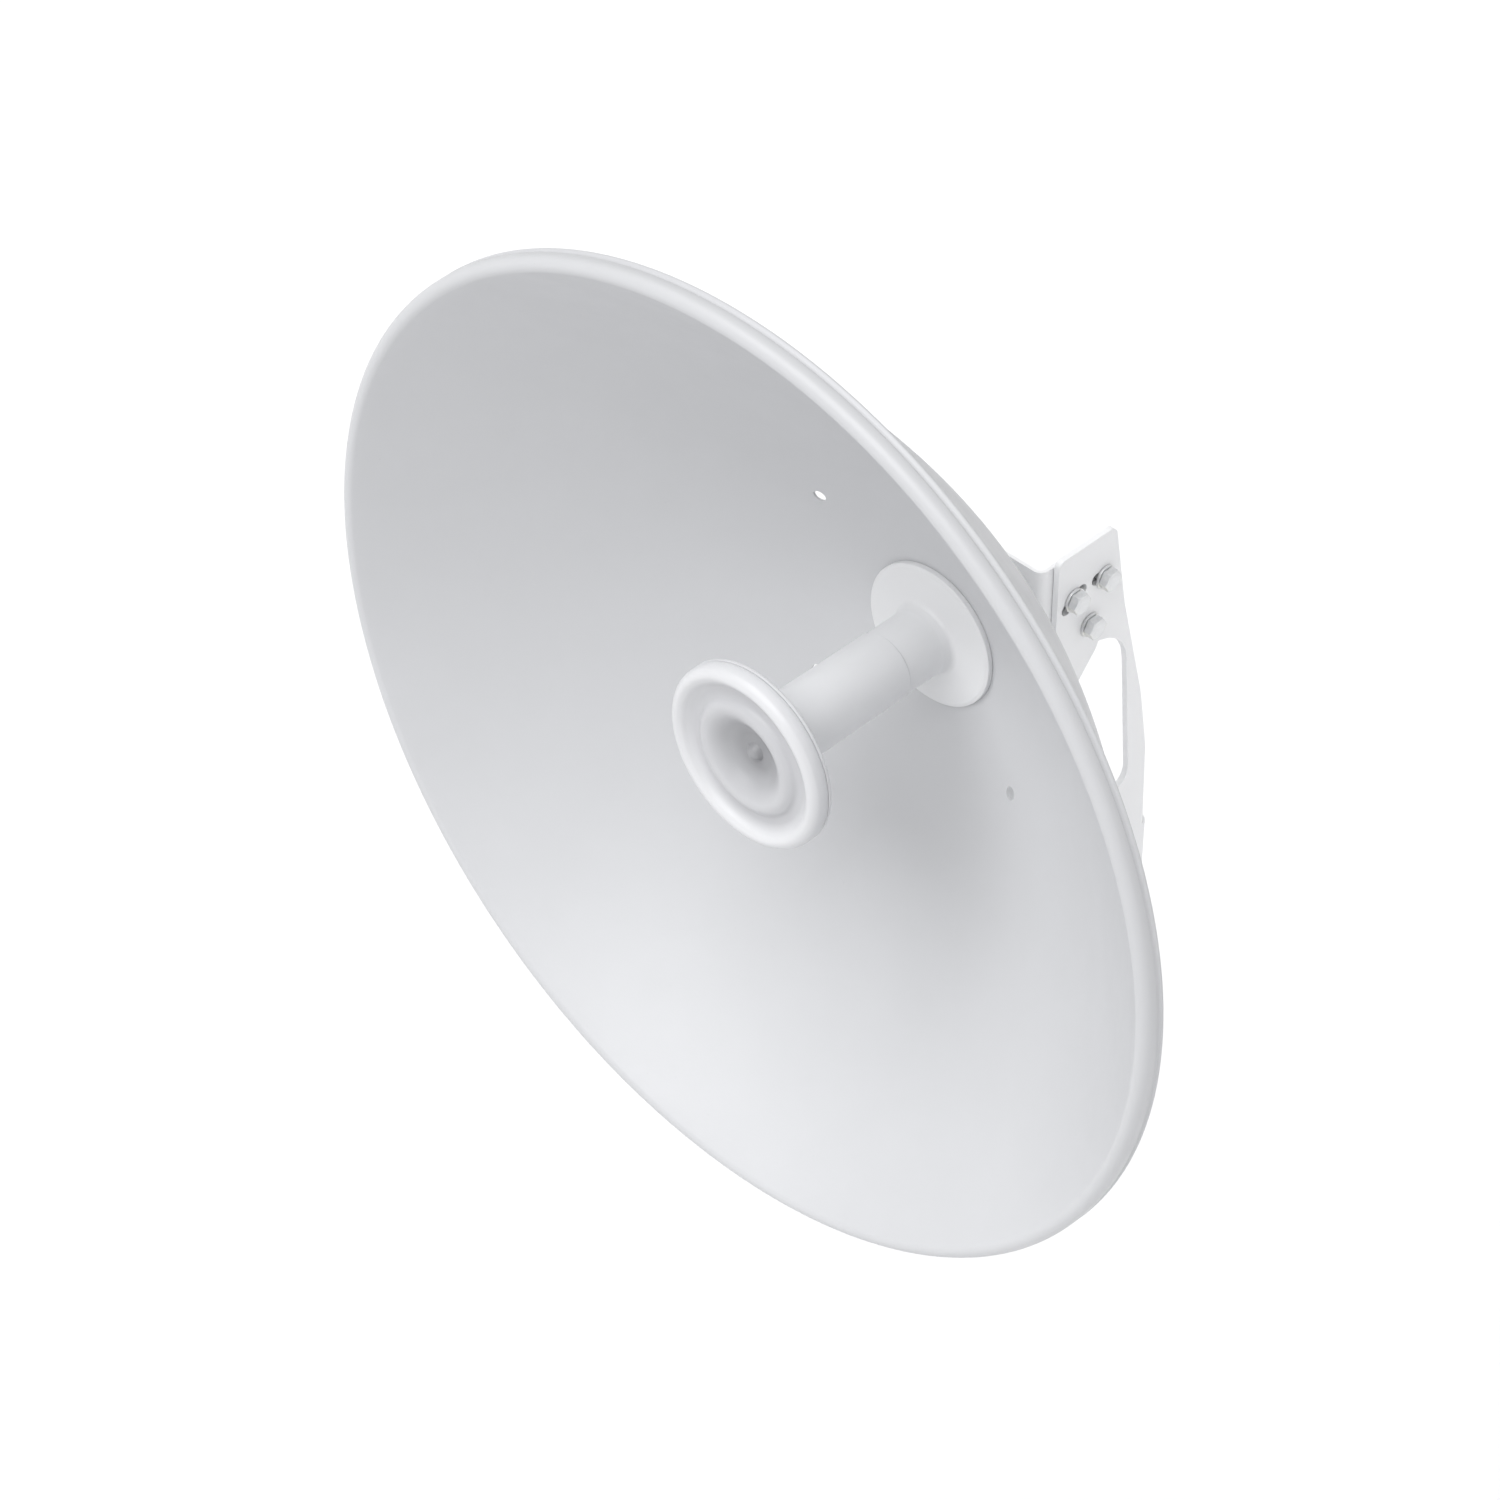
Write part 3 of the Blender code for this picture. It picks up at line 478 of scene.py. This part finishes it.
def threaded(bm, radius, low, high, pitch, count=32, rows=6, bore=None):
    """Stud or sleeve with a helical thread; bore is its hole's (radius, floor height)."""
    thread_depth = pitch * 0.5
    total = max(2, round((high - low) / pitch * rows))
    chamfer = pitch * 0.9
    crest = 1.35                 # more than one leaves flat crests on the thread
    break_edge = 0.3

    def ring(height):
        near_end = min(1.0, (high - height) / chamfer)

        def r(a):
            phase = (height / pitch - a / TURN) % 1.0
            ridge = abs(phase * 2 - 1)
            full = radius - thread_depth * (1 - min(1.0, ridge * crest))
            return min(full, radius - thread_depth * (1 - near_end))
        return circle_points(r, height, count)

    rings = [ring(low + (high - low) * i / total) for i in range(total + 1)]
    if bore is not None:
        bore_r, bore_floor = bore
        rings.append(circle_points(bore_r + break_edge, high, count))
        rings.append(circle_points(bore_r, high - break_edge, count))
        rings.append(circle_points(bore_r, bore_floor, count))
    grid(bm, rings)


def rod(bm, radius, low, high, count=32, chamfer=0.3):
    """Plain cylinder with a chamfered far end."""
    grid(bm, [circle_points(radius, low, count), circle_points(radius, high - chamfer, count),
              circle_points(radius - chamfer, high, count)])


def hexagon_radius(flats):
    """Function that gives a hexagon's radius at an angle, from its width across flats."""
    def radius(a):
        within = (a + math.pi / 6) % (math.pi / 3) - math.pi / 6
        return flats / 2 / math.cos(within)
    return radius


def hexagon_body(bm, flats, low, high, both_ends=False, hole=None, washer_face=True):
    """Hexagon with turned chamfers; optional plain hole through it."""
    count = 72
    edge = hexagon_radius(flats)
    crown = flats / 2 * 0.96     # radius where the chamfer meets the end face
    slope = math.tan(math.radians(28))
    countersink = 0.45
    dish = 0.25 if washer_face else 0.0

    def drop(a):
        """Height that the chamfer takes off at an angle."""
        return (edge(a) - crown) * slope

    rings = []
    if both_ends:
        rings.append(circle_points(crown, low, count))
        rings.append(circle_points(edge, lambda a: low + drop(a), count))
    else:
        rings.append(circle_points(edge, low, count))
    rings.append(circle_points(edge, lambda a: high - drop(a), count))
    rings.append(circle_points(crown, high, count))
    if hole is None:
        rings.append(circle_points(crown * 0.86, high - dish, count))
        grid(bm, rings)
        return
    rings.append(circle_points(hole + countersink, high, count))
    rings.append(circle_points(hole, high - countersink, count))
    rings.append(circle_points(hole, low + countersink, count))
    rings.append(circle_points(hole + countersink, low, count))
    rows = grid(bm, rings, closed_ends=False)
    first, last = rows[0], rows[-1]
    for i in range(count):
        bm.faces.new((last[i], last[(i + 1) % count], first[(i + 1) % count], first[i]))


def merge_into(bm, other):
    """Add a second bmesh to the first and free it."""
    mesh = bpy.data.meshes.new("part")
    other.to_mesh(mesh)
    other.free()
    bm.from_mesh(mesh)
    bpy.data.meshes.remove(mesh)


def cut(obj, tools):
    """Take a bmesh of closed tools, in the object's own space, out of it for good."""
    mesh = bpy.data.meshes.new("tools")
    tools.to_mesh(mesh)
    tools.free()
    tool = bpy.data.objects.new("tools", mesh)
    bpy.context.scene.collection.objects.link(tool)
    tool.matrix_world = obj.matrix_world.copy()
    mod = obj.modifiers.new("cut", "BOOLEAN")
    mod.operation = "DIFFERENCE"
    mod.solver = "EXACT"
    mod.use_self = True
    mod.object = tool
    bpy.context.view_layer.update()
    seen = obj.evaluated_get(bpy.context.evaluated_depsgraph_get())
    result = bpy.data.meshes.new_from_object(seen)
    obj.modifiers.clear()
    obj.data = result
    bpy.data.objects.remove(tool, do_unlink=True)


def ring_of(count, radius, start=0.0):
    """Places spread evenly round the axis; start is in degrees."""
    turn = [math.radians(start + 360.0 * i / count) for i in range(count)]
    return [(radius * math.cos(a), radius * math.sin(a)) for a in turn]


# (x, z, radius) of the holes in the bowl
FEED_SCREW_HOLES = [(x, z, 2.35) for x, z in ring_of(4, 27.5)]
BRACKET_BOLT_HOLES = [(x, z, 2.85) for x, z in ring_of(4, 38.0, start=45.0)]
SIGHT_HOLES = [(x, z, 4.0) for x in (-79.5, 79.5) for z in (-67.8, 67.8)]


def cut_along_axis(obj, holes):
    """Round (x, z, radius) holes along the dish's axis."""
    length = 0.12                # both in metres; long enough to pass bowl and spacer
    centre = -0.170
    tools = bmesh.new()
    for x, z, radius in holes:
        made = bmesh.ops.create_cone(tools, cap_ends=True, segments=48, depth=length,
                                     radius1=radius * MM, radius2=radius * MM)
        bmesh.ops.translate(tools, verts=made["verts"], vec=(x * MM, z * MM, centre))
    cut(obj, tools)


# --- reflector ---------------------------------------------------------------
def make_reflector():
    """Pressed bowl, rolled rim and beaded lip; holes are cut, then shading is made exact."""
    rows = 44
    lip_end = 11.5
    radii = [BOWL_HOLE_R + (JOIN_R - BOWL_HOLE_R) * i / rows for i in range(rows)]
    bowl = [(r, bowl_s(r)) for r in radii]
    roll = arc(ROLL_CENTRE, ROLL_S, ROLL_R, -90 - math.degrees(EDGE_SLOPE), 0, 14)
    groove_r = RIM_R - 0.9       # shallow groove between the rolled rim and the beaded lip
    bead = 1.6
    groove = [(RIM_R, lip_end - 6.0), (RIM_R - 0.3, lip_end - 5.4), (groove_r, lip_end - 4.8),
              (groove_r, lip_end - 3.8)]
    hem = arc(groove_r - 0.5, lip_end - bead, bead, -60, 90, 10)
    pressed = bowl + roll
    inside = behind_skin(pressed, BOWL_WALL)
    lip_inside = [(RIM_R - BOWL_WALL, lip_end - 6.5), (groove_r - BOWL_WALL, lip_end - 4.8),
                  (groove_r - BOWL_WALL, lip_end - 0.4)]
    profile = pressed + groove + hem + list(reversed(inside + lip_inside))
    bm = spin(bmesh.new(), [(r, -s) for r, s in profile], 288)
    place = Matrix.Translation(RIM_CENTRE) @ FACE_FRONT
    obj = finished("reflector_shell", bm, "reflector", 35.0, place)
    cut_along_axis(obj, SIGHT_HOLES + FEED_SCREW_HOLES + BRACKET_BOLT_HOLES)
    exact_bowl_normals(obj)


def exact_bowl_normals(obj):
    """Give the pressed surface the normals of the true parabola."""
    parabola_end = JOIN_R - 1.5
    same_way = 0.85              # cosine; faces below it are edges and hole walls
    mesh = obj.data
    normals = []
    for face in mesh.polygons:
        for index in face.loop_indices:
            co = mesh.vertices[mesh.loops[index].vertex_index].co
            r = math.hypot(co.x, co.y)
            flat = mesh.corner_normals[index].vector.copy()
            if r > parabola_end * MM:
                normals.append(flat)
                continue
            slope = 2.0 * BOWL_DEPTH * r / (BOWL_R ** 2 * MM)
            true = Vector((-co.x / r * slope, -co.y / r * slope, 1.0)).normalized()
            side = face.normal.dot(true)
            if abs(side) < same_way:
                normals.append(flat)
            else:
                normals.append(true if side > 0 else -true)
    mesh.normals_split_custom_set(normals)


# --- feed --------------------------------------------------------------------
def make_feed_base():
    """Collar, flange with a pocket for the gasket, and the spigot through the bowl."""
    collar = 21.4
    flange = 48.0
    edge_inner = 46.9
    pocket = 43.8
    seat = 31.5
    spigot = 22.0
    pocket_floor = 173.0
    base = softened([
        (BORE_R, COLLAR_FRONT, 0.2), (collar, COLLAR_FRONT, 1.1), (collar + 0.3, 162.0, 4),
        (collar + 1.6, 168.8, 5), (45.6, 171.3, 2), (flange, 172.2, 0.9),
        (flange, bowl_s(flange) - 0.2, 0.1), (edge_inner, bowl_s(edge_inner) - 0.2, 0.1),
        (edge_inner, bowl_s(edge_inner) - 1.6, 0.1), (pocket, bowl_s(pocket) - 1.6, 0.2),
        (pocket, pocket_floor, 0.4), (seat, pocket_floor, 0.4), (seat, bowl_s(seat) - GAP, 0.2),
        (spigot, bowl_s(spigot) - GAP, 0.2), (spigot, SPIGOT_END, 0.6),
        (BORE_R, SPIGOT_END, 0.3)], steps=6)
    lathe("feed_base_moulding", "feed_base", base, 160, sharp=40)
    outer = 46.6
    inner = 44.2
    gasket = softened([
        (outer, bowl_s(outer) - 1.3), (outer, bowl_s(outer) - GAP),
        (inner, bowl_s(inner) - GAP), (inner, bowl_s(inner) - 1.3)], 0.3)
    lathe("feed_gasket_ring", "feed_base_gasket", gasket, 128)


def make_feed_tube():
    """Slightly tapered tube between the flange and the disc."""
    outside = flowing([(23.4, TUBE_FRONT), (22.8, TUBE_FRONT + 18),
                       (22.4, TUBE_FRONT + 48), (22.2, TUBE_REAR)], 8)
    wall = 1.5
    tube = outside + [(r - wall, s) for r, s in reversed(outside)]
    lathe("feed_tube_moulding", "feed_tube", tube, 144)


def make_feed_cup():
    """Rear half of the disc: shallow cone with a neck behind and a spigot in front."""
    neck = 26.0
    spigot = 57.6
    spigot_inner = 55.6
    cup = softened([
        (spigot, DISC_JOIN - SPIGOT_REACH, 0.3), (spigot, DISC_JOIN + GAP, 0.1),
        (DISC_R, DISC_JOIN + GAP, 0.35), (DISC_R, DISC_JOIN + 2.2, 1.0),
        (DISC_R - 2, DISC_JOIN + 3.8, 1.5),
        (neck + 2.5, TUBE_FRONT - 1.8, 1.5), (neck, TUBE_FRONT - GAP, 0.8),
        (BORE_R, TUBE_FRONT - GAP, 0.2), (BORE_R, TUBE_FRONT - 2.2, 0.2),
        (neck + 1, TUBE_FRONT - 3.6, 0.8), (spigot_inner, DISC_JOIN + 1.8, 0.8),
        (spigot_inner, DISC_JOIN - SPIGOT_REACH, 0.3)], steps=5)
    lathe("feed_cup_moulding", "feed_cup", cup, 160, sharp=40)


def make_feed_cover():
    """Front of the disc: boss, deep recess, ridge, groove and rounded rim."""
    boss = arc(0.0, DISC_JOIN + 2.2, 5.6, -90, -22, 8)
    relief = [
        (boss[-1][0] + 0.9, -1.4), (9.0, -1.9), (13.0, -1.6), (18.6, 0.9), (23.6, 5.0), (27.6, 7.8),
        (31.2, 9.2), (34.4, 9.1), (37.2, 7.4), (39.4, 5.4), (42.0, 4.7), (45.4, 5.0), (48.2, 6.7),
        (51.0, 9.5), (54.0, 11.0), (57.0, 10.2), (59.2, 7.8), (DISC_R, 4.6)]
    face = flowing([(r, DISC_JOIN - height) for r, height in relief], 6)
    skirt = [(DISC_R, DISC_JOIN - 2.5), (DISC_R, DISC_JOIN - 0.5), (DISC_R - 0.3, DISC_JOIN)]
    front = boss + face + skirt
    wall = 1.2
    inner = [point for point in behind_skin(front, wall) if point[0] > 0]
    cover = front + list(reversed(inner)) + [(0.0, boss[0][1] + wall)]
    lathe("feed_cover_moulding", "feed_front_cover", cover, 192, closed=False, sharp=40)


def make_feed_inside():
    """Seal, plate and cone inside the disc, and the metal waveguide."""
    seal_front, seal_rear = depth("front_cover_seal")
    outer = 58.0
    inner = 56.0
    seal = softened([(outer, seal_front), (outer, seal_rear),
                     (inner, seal_rear), (inner, seal_front)])
    lathe("cover_seal_ring", "front_cover_seal", seal, 128)
    front, rear = depth("subreflector_plate")
    plate_r = 38.0
    plate = softened([(0.0, front, 0), (plate_r, front, 0.3), (plate_r, rear, 0.3),
                      (0.0, rear, 0)])
    lathe("subreflector_disc", "subreflector_plate", plate, 128, closed=False)
    front, rear = depth("dielectric_cone")
    cone_r = 13.0
    cone = softened([(0.0, front, 0), (cone_r, front, 0.4), (cone_r, front + 11.3, 0.8),
                     (1.2, rear - 3.0, 2.0), (0.0, rear, 0)])
    lathe("dielectric_cone_turned", "dielectric_cone", cone, 96, closed=False)
    front, rear = depth("waveguide_tube")
    guide = softened([(GUIDE_R, front), (GUIDE_R, rear), (GUIDE_BORE_R, rear),
                      (GUIDE_BORE_R, front)], 0.25)
    lathe("waveguide_tube_drawn", "waveguide_tube", guide, 128)


def make_waveguide_block():
    """Turned body with a groove round it and a shallow recess in its end."""
    front, rear = depth("waveguide_block")
    outer = 20.0
    recess = 12.0
    groove = front + 7.0
    floor = rear - 3.5
    guide_end = depth("waveguide_tube")[1] + GAP
    block = softened([
        (0.0, rear - 0.8, 0), (recess, rear - 0.8, 0.3), (recess + 0.8, rear, 0.3),
        (outer, rear, 1.5), (outer, groove + 2.4, 0.3), (outer - 0.7, groove + 1.7, 0.2),
        (outer - 0.7, groove + 0.7, 0.2), (outer, groove, 0.3), (outer, front, 0.8),
        (BORE_R, front, 0.4), (BORE_R, guide_end, 0.2), (GUIDE_BORE_R, guide_end, 0.2),
        (GUIDE_BORE_R, floor, 0.4), (0.0, floor, 0)])
    lathe("waveguide_block_turned", "waveguide_block", block, 144, closed=False)


def make_connector(side, direction):
    """Threaded coaxial socket and its probe, square to the waveguide block."""
    socket = f"rf_connector_{side}"
    probe = f"waveguide_probe_{side}"
    tilt = Matrix.Rotation(math.radians(direction), 4, "Y")
    place = Matrix.Translation((0.0, middle(socket).y, AXIS_Z)) @ tilt
    seat = 20.4                  # heights are from the waveguide's axis
    hexagon_top = seat + 2.6
    neck_top = seat + 4.7
    end = 40.0
    overlap = 0.1                # the stacked turned shapes run into each other
    bm = bmesh.new()
    hexagon_body(bm, 12.8, seat, hexagon_top, washer_face=False)
    rod(bm, 4.7, hexagon_top - overlap, neck_top + overlap)
    rod(bm, 2.1, 17.2, seat + overlap)
    threaded(bm, 5.2, neck_top - overlap, end, 0.9, 64, 6, bore=(3.3, 31.0))
    finished(socket + "_turned", bm, socket, 30.0, place)
    pin_r = 0.65
    pin = bmesh.new()
    rod(pin, pin_r, 5.0, 36.0, 24)
    finished(probe + "_pin", pin, probe, 35.0, place)


def make_hub_spacer():
    """Cast ring whose front follows the back of the bowl."""
    outer = 46.0
    inner = 23.0
    bowl_slack = 0.1             # the sheet is thicker along the axis than square to it
    behind = BOWL_WALL + bowl_slack + GAP
    rear = depth("hub_spacer")[1]
    steps = 12
    radii = [inner + (outer - inner) * i / steps for i in range(steps + 1)]
    face = [(r, bowl_s(r) + behind, 0) for r in radii]
    ring = softened(face + [(outer, rear, 0.8), (inner, rear, 0.8)])
    obj = lathe("hub_spacer_cast", "hub_spacer", ring, 160)
    cut_along_axis(obj, FEED_SCREW_HOLES + BRACKET_BOLT_HOLES)


# --- arm, bracket and saddle --------------------------------------------------
def make_edge_broken(name, node, width):
    """The CAD shape with its edges broken, as a deburred and coated part has."""
    source = frame["nodes"][node]
    bm = bmesh.new()
    bm.from_mesh(source.data)
    bmesh.ops.remove_doubles(bm, verts=bm.verts, dist=2e-6)
    bmesh.ops.dissolve_limit(bm, angle_limit=math.radians(0.6), verts=bm.verts, edges=bm.edges,
                             use_dissolve_boundaries=False)
    obj = finished(name, bm, node, 30.0)
    bevel = obj.modifiers.new("broken_edges", "BEVEL")
    bevel.width = width * MM
    bevel.segments = 3
    bevel.limit_method = "ANGLE"
    bevel.angle_limit = math.radians(40)
    bevel.harden_normals = True
    bevel.use_clamp_overlap = True
    return obj


# --- fasteners ---------------------------------------------------------------
M8_R = 4.0
M8_PITCH = 1.25
M8_FLATS = 13.0
M8_HEAD = 5.3
M5_R = 2.5
M5_PITCH = 0.8
M5_FLATS = 8.0
M4_R = 2.0
M4_PITCH = 0.7
NUT_SLACK = 0.05


def make_side_bolt(node):
    """Hexagon bolt that runs across X with its head outside the arm."""
    low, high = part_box(node)
    head_face = high.x / MM - M8_HEAD
    length = head_face - low.x / MM
    plain = 6.0                  # length under the head without a thread
    bm = bmesh.new()
    hexagon_body(bm, M8_FLATS, 0.0, M8_HEAD)
    shank = bmesh.new()
    rod(shank, M8_R, -0.4, plain, chamfer=0.2)
    threaded(shank, M8_R, plain, length, M8_PITCH)
    bmesh.ops.rotate(shank, verts=shank.verts, matrix=Matrix.Rotation(math.pi, 3, "X"))
    merge_into(bm, shank)
    centre = middle(node)
    where = Matrix.Translation((head_face * MM, centre.y, centre.z)) @ FACE_RIGHT
    finished(node + "_turned", bm, node, 28.0, where)


def make_nut(node, flats, hole, axis):
    """Chamfered nut on the place and along the axis of a CAD nut."""
    low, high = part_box(node)
    index = "XYZ".index(axis)
    thick = (high[index] - low[index]) / MM
    bm = bmesh.new()
    hexagon_body(bm, flats, -thick / 2, thick / 2, both_ends=True, hole=hole)
    turn = {"X": FACE_RIGHT, "Y": FACE_BACK}[axis]
    finished(node + "_turned", bm, node, 28.0, Matrix.Translation((low + high) / 2) @ turn)


def make_washer(node, axis):
    """Plain M8 washer on the place and along the axis of a CAD washer."""
    low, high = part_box(node)
    index = "XYZ".index(axis)
    half = (high[index] - low[index]) / MM / 2
    outer = (high.z - low.z) / MM / 2
    hole = M8_R + 0.3
    ring = softened([(hole, half), (outer, half), (outer, -half), (hole, -half)], 0.35, 3)
    bm = spin(bmesh.new(), ring, 64)
    turn = {"X": FACE_RIGHT, "Y": FACE_BACK}[axis]
    finished(node + "_stamped", bm, node, 35.0, Matrix.Translation((low + high) / 2) @ turn)


def make_u_bolt(node):
    """Bent rod with rolled threads on both legs."""
    low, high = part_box(node)
    leg_x = high.x / MM - M8_R
    bow_y = low.y / MM + M8_R + leg_x
    end_y = high.y / MM
    thread_from = 12.0
    sides = 32
    up = Vector((0.0, 0.0, 1.0))
    bm = bmesh.new()
    path = [Vector((leg_x, thread_from, 0.0))]
    path += [Vector((x, y, 0.0)) for x, y in arc(0.0, 0.0, leg_x, 0, -180, 48)]
    path += [Vector((-leg_x, thread_from, 0.0))]
    rings = []
    for i, point in enumerate(path):
        along = (path[min(i + 1, len(path) - 1)] - path[max(i - 1, 0)]).normalized()
        side = Vector((along.y, -along.x, 0.0))
        ring = []
        for k in range(sides):
            a = TURN * k / sides
            outward = side * math.cos(a) + up * math.sin(a)
            ring.append((point + outward * M8_R) * MM)
        rings.append(ring)
    grid(bm, rings)
    for x in (-leg_x, leg_x):
        stud = bmesh.new()
        threaded(stud, M8_R, thread_from, end_y - bow_y, M8_PITCH)
        place = Matrix.Translation((x * MM, 0, 0)) @ FACE_BACK
        bmesh.ops.transform(stud, verts=stud.verts, matrix=place)
        merge_into(bm, stud)
    where = Matrix.Translation((0.0, bow_y * MM, (low.z + high.z) / 2))
    finished(node + "_rod", bm, node, 40.0, where)


def make_screw(node, radius, pitch, head, facing, cross=False):
    """Domed screw along the dish's axis; facing turns local Z the way its head looks."""
    low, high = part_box(node)
    centre = (low + high) / 2
    height = head[-1][1]
    length = (high.y - low.y) / MM - height
    head_y = low.y + height * MM if facing is FACE_FRONT else high.y - height * MM
    bm = spin(bmesh.new(), softened(head, steps=5), 48, closed=False)
    shank = bmesh.new()
    threaded(shank, radius, 0.0, length, pitch, 24)
    bmesh.ops.rotate(shank, verts=shank.verts, matrix=Matrix.Rotation(math.pi, 3, "X"))
    merge_into(bm, shank)
    place = Matrix.Translation((centre.x, head_y, centre.z)) @ facing
    obj = finished(node + "_turned", bm, node, 35.0, place)
    if cross:
        cut_cross(obj)


def cut_cross(obj):
    """Cross recess in a screw head."""
    width, slot, deep = 3.6, 0.8, 3.0
    tools = bmesh.new()
    for turn in (0.0, math.pi / 2):
        made = bmesh.ops.create_cube(tools, size=1.0)
        size = Matrix.Diagonal((width * MM, slot * MM, deep * MM, 1.0))
        shape = Matrix.Rotation(turn, 4, "Z") @ size
        place = Matrix.Translation((0, 0, deep * MM))
        bmesh.ops.transform(tools, verts=made["verts"], matrix=place @ shape)
    cut(obj, tools)


# (r, height, corner radius) outlines of the two screw heads
PAN_HEAD = [(0.0, 0.0, 0), (3.7, 0.0, 0.2), (3.7, 1.5, 0.9), (2.4, 2.75, 1.2), (0.0, 2.9, 0)]
ROUND_HEAD = [(0.0, 0.0, 0), (4.6, 0.0, 0.2), (4.6, 1.0, 0.8), (3.2, 2.2, 1.0), (0.0, 2.4, 0)]


def make_fasteners():
    for label in ("pivot", "rear_lock", "front_lock"):
        make_side_bolt(f"{label}_bolt")
        make_washer(f"{label}_washer", "X")
        make_nut(f"{label}_nut", M8_FLATS, M8_R + NUT_SLACK, "X")
    for i in range(1, 5):
        make_washer(f"clamp_washer_{i}", "Y")
        make_nut(f"clamp_nut_{i}", M8_FLATS, M8_R + NUT_SLACK, "Y")
        make_nut(f"bracket_nut_{i}", M5_FLATS, M5_R + NUT_SLACK, "Y")
        make_screw(f"bracket_bolt_{i}", M5_R, M5_PITCH, ROUND_HEAD, FACE_FRONT)
        make_screw(f"feed_screw_{i}", M4_R, M4_PITCH, PAN_HEAD, FACE_BACK, cross=True)
    make_u_bolt("upper_u_bolt")
    make_u_bolt("lower_u_bolt")


# --- studio ------------------------------------------------------------------
def make_floor():
    """Wide pale paper far below the dish."""
    drop = 0.9
    size = 400.0
    bm = bmesh.new()
    bmesh.ops.create_grid(bm, x_segments=1, y_segments=1, size=size)
    mesh = bpy.data.meshes.new("studio_floor")
    bm.to_mesh(mesh)
    bm.free()
    floor = bpy.data.objects.new("studio_floor", mesh)
    floor.location = (0.0, 0.0, CAD_BOX[0][2] - drop)
    bpy.context.scene.collection.objects.link(floor)
    pale = Finish("studio_paper", (0.87, 0.87, 0.875), 0.9)
    pale.mottle(pale.noise(2.0), darker=0.995)
    floor.data.materials.append(pale.material)


def broad_light(name, direction, power, angle):
    """Far soft light; direction points from the dish to it, angle is its width in the sky."""
    light = bpy.data.lights.new(name, "SUN")
    light.energy = power
    light.angle = math.radians(angle)
    lamp = bpy.data.objects.new(name, light)
    bpy.context.scene.collection.objects.link(lamp)
    lamp.rotation_euler = Vector(direction).to_track_quat("Z", "Y").to_euler()


def make_light():
    """Sky that brightens upwards, a wide light overhead and a weak one at the right rear."""
    horizon = (0.24, 0.24, 0.245, 1.0)
    zenith = (0.56, 0.56, 0.56, 1.0)
    world = bpy.data.worlds.new("studio")
    world.use_nodes = True
    nodes = world.node_tree.nodes
    links = world.node_tree.links
    background = nodes["Background"]
    coords = nodes.new("ShaderNodeTexCoord")
    split = nodes.new("ShaderNodeSeparateXYZ")
    ramp = nodes.new("ShaderNodeValToRGB")
    ramp.color_ramp.elements[0].position = 0.0
    ramp.color_ramp.elements[0].color = horizon
    ramp.color_ramp.elements[1].position = 1.0
    ramp.color_ramp.elements[1].color = zenith
    links.new(coords.outputs["Generated"], split.inputs["Vector"])
    links.new(split.outputs["Z"], ramp.inputs["Fac"])
    links.new(ramp.outputs["Color"], background.inputs["Color"])
    background.inputs["Strength"].default_value = 1.0
    bpy.context.scene.world = world
    broad_light("overhead", (-0.06, -0.50, 0.86), power=2.85, angle=60)
    broad_light("right_rear", (0.80, 0.50, 0.30), power=0.35, angle=50)


# --- assembly ----------------------------------------------------------------
for node_name, node_object in frame["nodes"].items():
    dress(node_object, NODE_SLOT[node_name])
make_camera()
make_reflector()
make_feed_base()
make_feed_tube()
make_feed_cup()
make_feed_cover()
make_feed_inside()
make_waveguide_block()
make_connector("a", -135)
make_connector("b", 135)
make_hub_spacer()
make_edge_broken("mount_arm_coated", "mount_arm", width=0.55)
make_edge_broken("dish_bracket_coated", "dish_bracket", width=0.4)
make_edge_broken("pole_saddle_cast", "pole_saddle", width=0.35)
make_fasteners()
make_floor()
make_light()
bpy.context.scene.view_settings.view_transform = "Standard"
